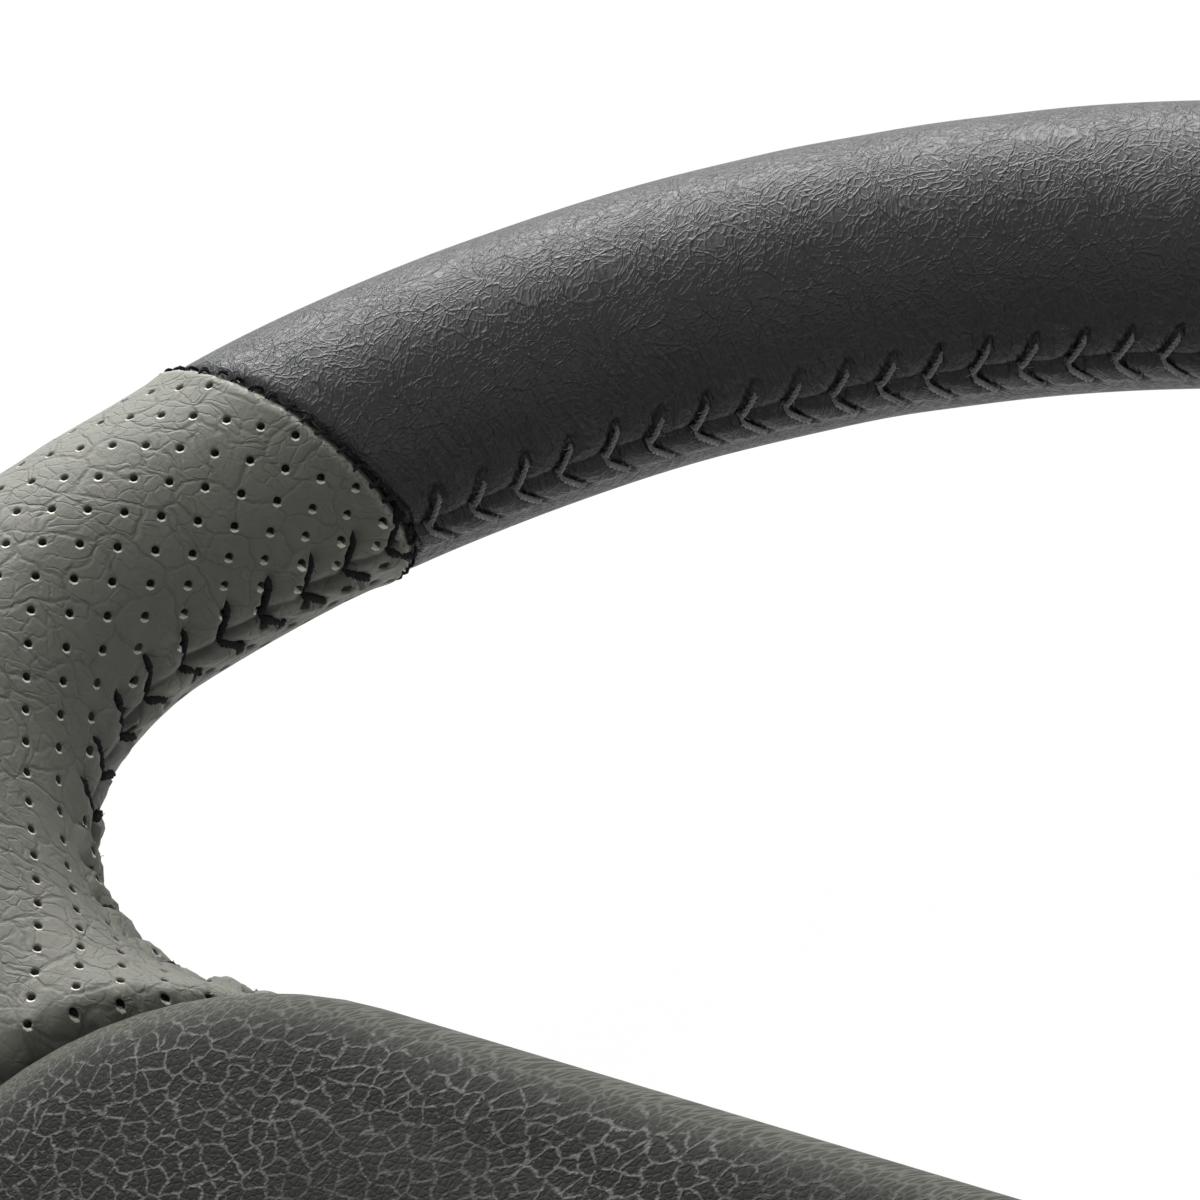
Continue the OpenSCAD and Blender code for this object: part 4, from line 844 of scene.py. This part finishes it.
def build_cover(material):
    line = wing_outline(COVER_HALF_W, COVER_CORNER, COVER_SIDE_CORNER, COVER_TIP, COVER_TIP_CORNER,
                        PAD_INSET, 12, PAD_STEP)
    n = inward(line)
    inside = line + n * COVER_WALL
    share = on_spoke(line)
    under = np.minimum(leather_back(line), leather_back(inside)) - RUNNING_GAP
    tops = COVER_TOP + (np.minimum(under, COVER_TOP + 3) - COVER_TOP) * share
    outer, rim = cover_rings(line, n, tops, 0.0)
    inner, hole = cover_rings(line, n, tops, COVER_WALL)
    rounded_edge = [lift_to(rim * 0.995, 0.1), lift_to(rim * 0.985, 0.0), lift_to(hole * 1.01, 0.0)]
    verts, faces = rings_mesh(outer + rounded_edge + inner[::-1])
    add_mesh("rear_shell", verts, faces[:, ::-1], "wheel", material, node="rear_cover",
             slot="cover_plastic")


# Materials

def new_material(name, colour, roughness, **sockets):
    mat = bpy.data.materials.new(name)
    mat.use_nodes = True
    shader = mat.node_tree.nodes["Principled BSDF"]
    shader.inputs["Base Color"].default_value = (*colour, 1)
    shader.inputs["Roughness"].default_value = roughness
    for key, value in sockets.items():
        shader.inputs[key.replace("_", " ")].default_value = value
    return mat


class Graph:
    """Short names for the nodes of a material or the world."""

    def __init__(self, tree, dimensions="3D"):
        self.tree, self.dimensions = tree, dimensions

    def node(self, kind, **settings):
        out = self.tree.nodes.new("ShaderNode" + kind)
        for key, value in settings.items():
            setattr(out, key, value)
        return out

    def link(self, a, b):
        self.tree.links.new(a, b)

    def put(self, socket, value):
        if hasattr(value, "is_output"):
            self.link(value, socket)
        else:
            socket.default_value = value

    def given(self, attribute, output="Fac"):
        return self.node("Attribute", attribute_name=attribute).outputs[output]

    def place(self):
        """Where the surface is in the frame, in millimetres."""
        return self.vector("SCALE", self.node("TexCoord").outputs["Object"], scale=MM)

    def axes(self, vector):
        n = self.node("SeparateXYZ")
        self.link(vector, n.inputs[0])
        return n.outputs

    def joined(self, x, y):
        n = self.node("CombineXYZ")
        self.link(x, n.inputs[0])
        self.link(y, n.inputs[1])
        return n.outputs[0]

    def vector(self, operation, a, b=None, scale=None):
        n = self.node("VectorMath", operation=operation)
        self.put(n.inputs[0], a)
        if b is not None:
            self.put(n.inputs[1], b)
        if scale is not None:
            self.put(n.inputs["Scale"], scale)
        return n.outputs["Vector"]

    def maths(self, operation, a, b):
        n = self.node("Math", operation=operation)
        self.put(n.inputs[0], a)
        self.put(n.inputs[1], b)
        return n.outputs[0]

    def noise(self, place, size, detail, rough=0.55, output="Fac"):
        n = self.node("TexNoise", noise_dimensions=self.dimensions)
        self.link(place, n.inputs["Vector"])
        n.inputs["Scale"].default_value = 1 / size
        n.inputs["Detail"].default_value = detail
        n.inputs["Roughness"].default_value = rough
        return n.outputs[output]

    def warped(self, place, size, amount):
        """The place moved by a smooth random step of up to about amount each way."""
        cloud = self.noise(place, size, 2, 0.5, "Color")
        step = self.vector("SUBTRACT", cloud, (0.5, 0.5, 0.5))
        return self.vector("ADD", place, self.vector("SCALE", step, scale=2 * amount))

    def cells(self, place, size):
        """Distance from the edges of random cells of about the size."""
        n = self.node("TexVoronoi", feature="DISTANCE_TO_EDGE", voronoi_dimensions=self.dimensions)
        self.link(place, n.inputs["Vector"])
        n.inputs["Scale"].default_value = 1 / size
        return n.outputs["Distance"]

    def span(self, value, low, high, to_low=0.0, to_high=1.0):
        n = self.node("MapRange", interpolation_type="SMOOTHSTEP")
        self.link(value, n.inputs["Value"])
        ends = {"From Min": low, "From Max": high, "To Min": to_low, "To Max": to_high}
        for key, number in ends.items():
            n.inputs[key].default_value = number
        return n.outputs["Result"]

    def mix(self, share, a, b):
        n = self.node("Mix", data_type="RGBA")
        self.put(n.inputs["Factor"], share)
        self.put(n.inputs[6], a if hasattr(a, "is_output") else (*a, 1))
        self.put(n.inputs[7], b if hasattr(b, "is_output") else (*b, 1))
        return n.outputs[2]

    def bump(self, height, distance, under=None, strength=1):
        """Relief of the surface. The height runs from 0 to 1 over the distance in millimetres."""
        n = self.node("Bump")
        n.inputs["Strength"].default_value = strength
        n.inputs["Distance"].default_value = distance / MM
        self.link(height, n.inputs["Height"])
        if under is not None:
            self.link(under, n.inputs["Normal"])
        return n.outputs["Normal"]

    def finish(self, colour=None, roughness=None, normal=None):
        for key, value in (("Base Color", colour), ("Roughness", roughness), ("Normal", normal)):
            if value is not None:
                self.put(self.tree.nodes["Principled BSDF"].inputs[key], value)


def grey_leather():
    mat = new_material("leather_grey_hide", (0.13, 0.13, 0.11), 0.6, Specular_IOR_Level=0.16)
    g = Graph(mat.node_tree, "2D")
    at = g.given("flat_at", "Vector")
    _, depth, from_end = g.axes(g.given("seam_at", "Vector"))
    hole, pale = g.given("hole"), g.given("pale")
    slow = g.noise(at, 22, 3)
    mottle = g.noise(at, 2.4, 5, 0.62)
    long_way = g.vector("MULTIPLY", g.warped(g.warped(at, 14, 3.0), 2.5, 0.7), (1.0, 1.45, 1.0))
    folds = g.cells(long_way, 5.4)
    fine_folds = g.cells(g.warped(long_way, 2, 0.5), 2.1)
    pores = g.cells(g.warped(at, 0.8, 0.25), 0.62)
    crease = g.span(folds, 0.0, 0.10)
    fine_crease = g.span(fine_folds, 0.0, 0.14)
    flat_parts = g.span(g.noise(at, 9, 2), 0.45, 0.65)
    colour = g.mix(slow, (0.126, 0.127, 0.108), (0.156, 0.157, 0.134))
    colour = g.mix(g.span(mottle, 0.35, 0.75, 0, 0.45), colour, (0.175, 0.176, 0.152))
    # painted shade: the grey leather darkened along the edges of its folds, where shade falls in the creases
    colour = g.mix(g.maths("MULTIPLY", g.span(folds, 0.0, 0.035, 1, 0), 0.35), colour, (0.060, 0.060, 0.051))
    # painted shade: the holes' walls darkened and their bottoms near-black, as shade falls into them
    colour = g.mix(g.span(hole, 0.12, 0.3), colour, (0.035, 0.035, 0.031))
    colour = g.mix(g.span(hole, 0.82, 0.93), colour, (0.006, 0.006, 0.006))
    # painted highlight: the pale inside of the leather, painted only on the side of each hole's lip that
    # faces the light
    colour = g.mix(g.span(pale, 0.30, 0.38), colour, (0.62, 0.58, 0.50))
    # painted shade: the leather darkened within a millimetre or so of the seam, where shade falls into its
    # groove
    dark = g.span(depth, 0.1, 1.3, 0.75, 0)
    colour = g.mix(dark, colour, (0.03, 0.03, 0.028))
    # painted highlight along the joint, where the leather's edge stands proud, broken up by noise; it stands
    # in too for the paler cut edge of the leather, frayed
    cut_edge_and_highlight = g.span(from_end, 0.5, 1.5, 1, 0)
    frayed_cut_edge_and_highlight = g.maths("MULTIPLY", cut_edge_and_highlight, g.span(g.noise(at, 0.5, 3, 0.7), 0.35, 0.6))
    colour = g.mix(g.maths("MULTIPLY", frayed_cut_edge_and_highlight, 0.6), colour, (0.36, 0.35, 0.31))
    colour = g.mix(g.span(from_end, 0.15, 0.5, 0.9, 0), colour, (0.012, 0.012, 0.012))
    normal = g.bump(pores, 0.03, strength=0.8)
    normal = g.bump(g.maths("MAXIMUM", fine_crease, g.maths("MULTIPLY", flat_parts, 0.7)), 0.06, normal)
    normal = g.bump(crease, 0.09, normal)
    normal = g.bump(mottle, 0.16, normal)
    rough = g.span(mottle, 0.3, 0.8, 0.52, 0.66)
    g.finish(colour, rough, normal)
    return mat


def black_leather():
    mat = new_material("leather_black_hide", (0.012, 0.012, 0.013), 0.45, Specular_IOR_Level=0.27)
    g = Graph(mat.node_tree, "2D")
    at = g.given("flat_at", "Vector")
    along, depth, _ = g.axes(g.given("seam_at", "Vector"))
    long_way = g.vector("MULTIPLY", g.warped(g.warped(at, 9, 2.2), 2.0, 0.6), (1.35, 1.0, 1.0))
    grain = g.cells(g.warped(long_way, 1.2, 0.3), 0.95)
    creases = g.cells(long_way, 3.1)
    mottle = g.noise(at, 1.0, 5, 0.6)
    cell = g.span(grain, 0.0, 0.22)
    crease = g.span(creases, 0.0, 0.09)
    slow = g.noise(at, 18, 2)
    colour = g.mix(slow, (0.009, 0.0095, 0.010), (0.016, 0.0165, 0.017))
    # painted shade: the black leather darkened beside the seam, where shade falls into its groove
    colour = g.mix(g.span(depth, 0.1, 1.0, 0.8, 0), colour, (0.003, 0.003, 0.003))
    normal = g.bump(mottle, 0.09, strength=0.9)
    normal = g.bump(cell, 0.045, normal)
    normal = g.bump(crease, 0.055, normal)
    # the gathers that the stitches pull in beside the seam
    wavy = g.maths("ADD", along, g.maths("MULTIPLY", slow, 6))
    pleats = g.noise(g.joined(wavy, g.maths("MULTIPLY", depth, 0.13)), 0.8, 2)
    near = g.span(depth, 3.0, 16, 1, 0)
    normal = g.bump(g.maths("MULTIPLY", pleats, near), 0.5, normal)
    rough = g.span(mottle, 0.3, 0.75, 0.37, 0.52)
    g.finish(colour, rough, normal)
    return mat


def thread(name, colour, light):
    mat = new_material(name, colour, 0.8, Specular_IOR_Level=0.12)
    g = Graph(mat.node_tree)
    fibres = g.noise(g.place(), 0.16, 3, 0.7)
    colour = g.mix(g.span(fibres, 0.35, 0.75), colour, light)
    g.finish(colour, None, g.bump(fibres, 0.05))
    return mat


def pad_skin():
    mat = new_material("pad_grain", (0.014, 0.014, 0.013), 0.5, Specular_IOR_Level=0.05)
    g = Graph(mat.node_tree, "2D")
    # the height is added slantwise, so that the pattern of the plane runs on down the side walls
    x, y, z = g.axes(g.place())
    at = g.joined(g.maths("ADD", x, g.maths("MULTIPLY", z, 0.6)),
                  g.maths("ADD", y, g.maths("MULTIPLY", z, 0.8)))
    place = g.warped(g.warped(at, 2.4, 0.7), 0.55, 0.16)
    edge = g.cells(place, 2.1)
    small_edge = g.cells(place, 1.15)
    fine_edge = g.cells(g.warped(at, 0.9, 0.2), 0.75)
    top = g.span(g.axes(g.node("TexCoord").outputs["Normal"])[2], 0.78, 0.98)
    knots = g.noise(at, 1.1, 3, 0.6)
    line = g.maths("MULTIPLY", g.span(edge, 0.02, 0.13, 1, 0), g.span(knots, 0.30, 0.52))
    small = g.maths("MULTIPLY", g.span(small_edge, 0.02, 0.12, 1, 0), g.span(knots, 0.56, 0.70, 0, 0.6))
    web = g.maths("MAXIMUM", line, small)
    slow = g.noise(at, 12, 3)
    fine = g.noise(at, 0.5, 3, 0.6)
    colour = g.mix(slow, (0.008, 0.0078, 0.0072), (0.014, 0.0138, 0.013))
    web = g.maths("MULTIPLY", web, g.span(g.noise(at, 20, 2), 0.3, 0.6, 0.45, 1))
    # painted highlight: the grain's raised network painted lighter, where its ridges catch the light
    colour = g.mix(g.maths("MULTIPLY", web, 0.9), colour, (0.082, 0.083, 0.078))
    # painted sheen: the faces that turn away from the top, on the rolled edge, painted a lighter olive grey
    # for the light they catch at a grazing angle
    rolled_edge_sheen = g.mix(g.span(fine_edge, 0.0, 0.25, 1, 0), (0.040, 0.041, 0.034), (0.085, 0.086, 0.073))
    colour = g.mix(top, rolled_edge_sheen, colour)
    normal = g.bump(fine, 0.03, strength=0.8)
    normal = g.bump(g.span(fine_edge, 0.0, 0.3), 0.04, normal)
    normal = g.bump(g.maths("MULTIPLY", web, top), 0.09, normal)
    rough = g.maths("SUBTRACT", g.span(fine, 0.3, 0.75, 0.52, 0.64), g.maths("MULTIPLY", web, 0.24))
    g.finish(colour, rough, normal)
    return mat


def grained_plastic(name, colour, roughness):
    mat = new_material(name, colour, roughness)
    g = Graph(mat.node_tree)
    at = g.place()
    fine = g.noise(at, 0.5, 4, 0.6)
    slow = g.noise(at, 14, 2)
    dark, light = ([c * share for c in colour] for share in (0.85, 1.2))
    g.finish(g.mix(slow, dark, light), None, g.bump(fine, 0.06))
    return mat


def metal(name, colour, roughness, grain):
    mat = new_material(name, colour, roughness, Metallic=1.0)
    g = Graph(mat.node_tree)
    at = g.place()
    fine = g.noise(at, grain, 5, 0.65)
    slow = g.noise(at, 9, 3)
    rough = g.span(fine, 0.3, 0.8, roughness * 0.8, roughness * 1.3)
    g.finish(g.mix(slow, [c * 0.8 for c in colour], colour), rough, g.bump(fine, 0.04))
    return mat


HIDE_GREY = grey_leather()
HIDE_BLACK = black_leather()
THREAD_GREY = thread("thread_grey_spun", (0.16, 0.165, 0.165), (0.33, 0.335, 0.33))
THREAD_BLACK = thread("thread_black_spun", (0.005, 0.0055, 0.006), (0.022, 0.023, 0.025))
PAD_SKIN = pad_skin()
COVER_PLASTIC = grained_plastic("cover_moulding", (0.022, 0.022, 0.023), 0.55)
NODE_FINISH = {
    "foam": grained_plastic("moulded_foam", (0.03, 0.03, 0.03), 0.85),
    "casting": metal("die_casting", (0.55, 0.56, 0.58), 0.45, 0.8),
    "steel": metal("turned_steel", (0.50, 0.51, 0.53), 0.28, 0.5),
    "brass": metal("brass_strip", (0.72, 0.53, 0.26), 0.25, 0.5),
    "cover_plastic": COVER_PLASTIC,
    "pad_skin": PAD_SKIN,
    "nylon": grained_plastic("nylon", (0.55, 0.54, 0.50), 0.4),
    "bag_cloth": grained_plastic("bag_cloth", (0.62, 0.62, 0.60), 0.8),
    "wire": grained_plastic("wire_sleeve", (0.02, 0.02, 0.02), 0.45),
    "plug": grained_plastic("plug_housing", (0.75, 0.62, 0.05), 0.4),
}
for part in frame["record"]["subparts"]:
    finish = NODE_FINISH.get(part["material_slot"])
    if finish:
        slots = frame["nodes"][part["node"]].data.materials
        slots.clear()
        slots.append(finish)

build_grip(HIDE_GREY)
BLACK_TOP = black_seam(np.pi / 2, TOP_JOINT)
BLACK_BOTTOM = black_seam(-np.pi / 2, BOTTOM_JOINT)
build_panel("leather_top", np.pi / 2, TOP_JOINT, BLACK_TOP, HIDE_BLACK, 1.0)
build_panel("leather_bottom", -np.pi / 2, BOTTOM_JOINT, BLACK_BOTTOM, HIDE_BLACK, 4.0)
build_stitches("stitching_top", [BLACK_TOP], THREAD_GREY, "thread_grey", 11, GREY_PLY)
build_stitches("stitching_bottom", [BLACK_BOTTOM], THREAD_GREY, "thread_grey", 31, GREY_PLY)
build_stitches("stitching_grip_left", GRIP_SEAMS, THREAD_BLACK, "thread_black", 51, BLACK_PLY, tufts=True)
build_stitches("stitching_grip_right", GRIP_SEAMS, THREAD_BLACK, "thread_black", 81, BLACK_PLY,
               mirrored=True, tufts=True)
build_pad(PAD_SKIN)
build_cover(COVER_PLASTIC)


# Camera, floor and light

VIEW_FROM = Vector((98.7, -134.9, 433.1)) / MM
VIEW_AXES = ((0.88912, 0.41460, -0.19382), (-0.22488, 0.76461, 0.60399), (0.39861, -0.49344, 0.77306))
FOCAL_PIXELS, PICTURE_PIXELS = 4578, 1200
lens = bpy.data.cameras.new("view")
lens.sensor_width = 36
lens.lens = FOCAL_PIXELS / PICTURE_PIXELS * lens.sensor_width
lens.clip_start = 0.01
lens.clip_end = 20
camera = add_object("view", lens)
camera.matrix_world = Matrix.Translation(VIEW_FROM) @ Matrix(VIEW_AXES).transposed().to_4x4()
bpy.context.scene.camera = camera


def white_where_seen(tree, lit, shown, share=1.0):
    """Mixes two shaders: one that lights the object and one that the camera and mirrors see."""
    g = Graph(tree)
    path = g.node("LightPath")
    seen = path.outputs["Is Camera Ray"]
    for other in ("Is Transmission Ray", "Is Glossy Ray"):
        seen = g.maths("MAXIMUM", seen, path.outputs[other])
    mix = g.node("MixShader")
    g.link(g.maths("MULTIPLY", seen, share), mix.inputs["Fac"])
    g.link(lit, mix.inputs[1])
    g.link(shown, mix.inputs[2])
    return mix.outputs[0]


WORLD_STRENGTH = 0.18
world = bpy.data.worlds.new("studio")
bpy.context.scene.world = world
world.use_nodes = True
sky = world.node_tree
base = sky.nodes["Background"]
base.inputs["Color"].default_value = (0.95, 0.97, 1.0, 1)
base.inputs["Strength"].default_value = WORLD_STRENGTH
white = sky.nodes.new("ShaderNodeBackground")
white.inputs["Color"].default_value = (1, 1, 1, 1)
white.inputs["Strength"].default_value = 1.0
sky.links.new(white_where_seen(sky, base.outputs[0], white.outputs[0]),
              sky.nodes["World Output"].inputs["Surface"])

FLOOR_SIZE = 6.0
FLOOR_GLOW = 0.97
FLOOR_Z = -0.0005
floor_corners = ((-1, -1), (1, -1), (1, 1), (-1, 1))
floor_mesh = bpy.data.meshes.new("floor")
floor_mesh.from_pydata([(x * FLOOR_SIZE, y * FLOOR_SIZE, FLOOR_Z) for x, y in floor_corners],
                       [], [(0, 1, 2, 3)])
floor = add_object("floor", floor_mesh)
floor_paint = new_material("floor_paint", (0.92, 0.92, 0.92), 0.9)
paint = floor_paint.node_tree
glow = paint.nodes.new("ShaderNodeEmission")
glow.inputs["Strength"].default_value = 1.0
painted = paint.nodes["Principled BSDF"].outputs[0]
paint.links.new(white_where_seen(paint, painted, glow.outputs[0], FLOOR_GLOW),
                paint.nodes["Material Output"].inputs["Surface"])
floor_mesh.materials.append(floor_paint)


def lamp(name, place, target, size, power):
    light = bpy.data.lights.new(name, "AREA")
    light.shape = "RECTANGLE"
    light.size, light.size_y = size
    light.energy = power
    obj = add_object(name, light)
    obj.location = place
    obj.rotation_euler = (Vector(target) - Vector(place)).to_track_quat("-Z", "Y").to_euler()


lamp("key", (-0.94, 0.53, 1.21), (-0.1, 0.05, 0.07), (0.9, 0.9), 22)
lamp("back", (-0.75, 1.3, 0.5), (-0.1, 0.1, 0.07), (1.6, 0.5), 42)
lamp("fill", (0.9, -0.5, 1.1), (-0.1, 0.05, 0.07), (1.0, 1.0), 3)
bpy.context.scene.view_settings.view_transform = "Standard"
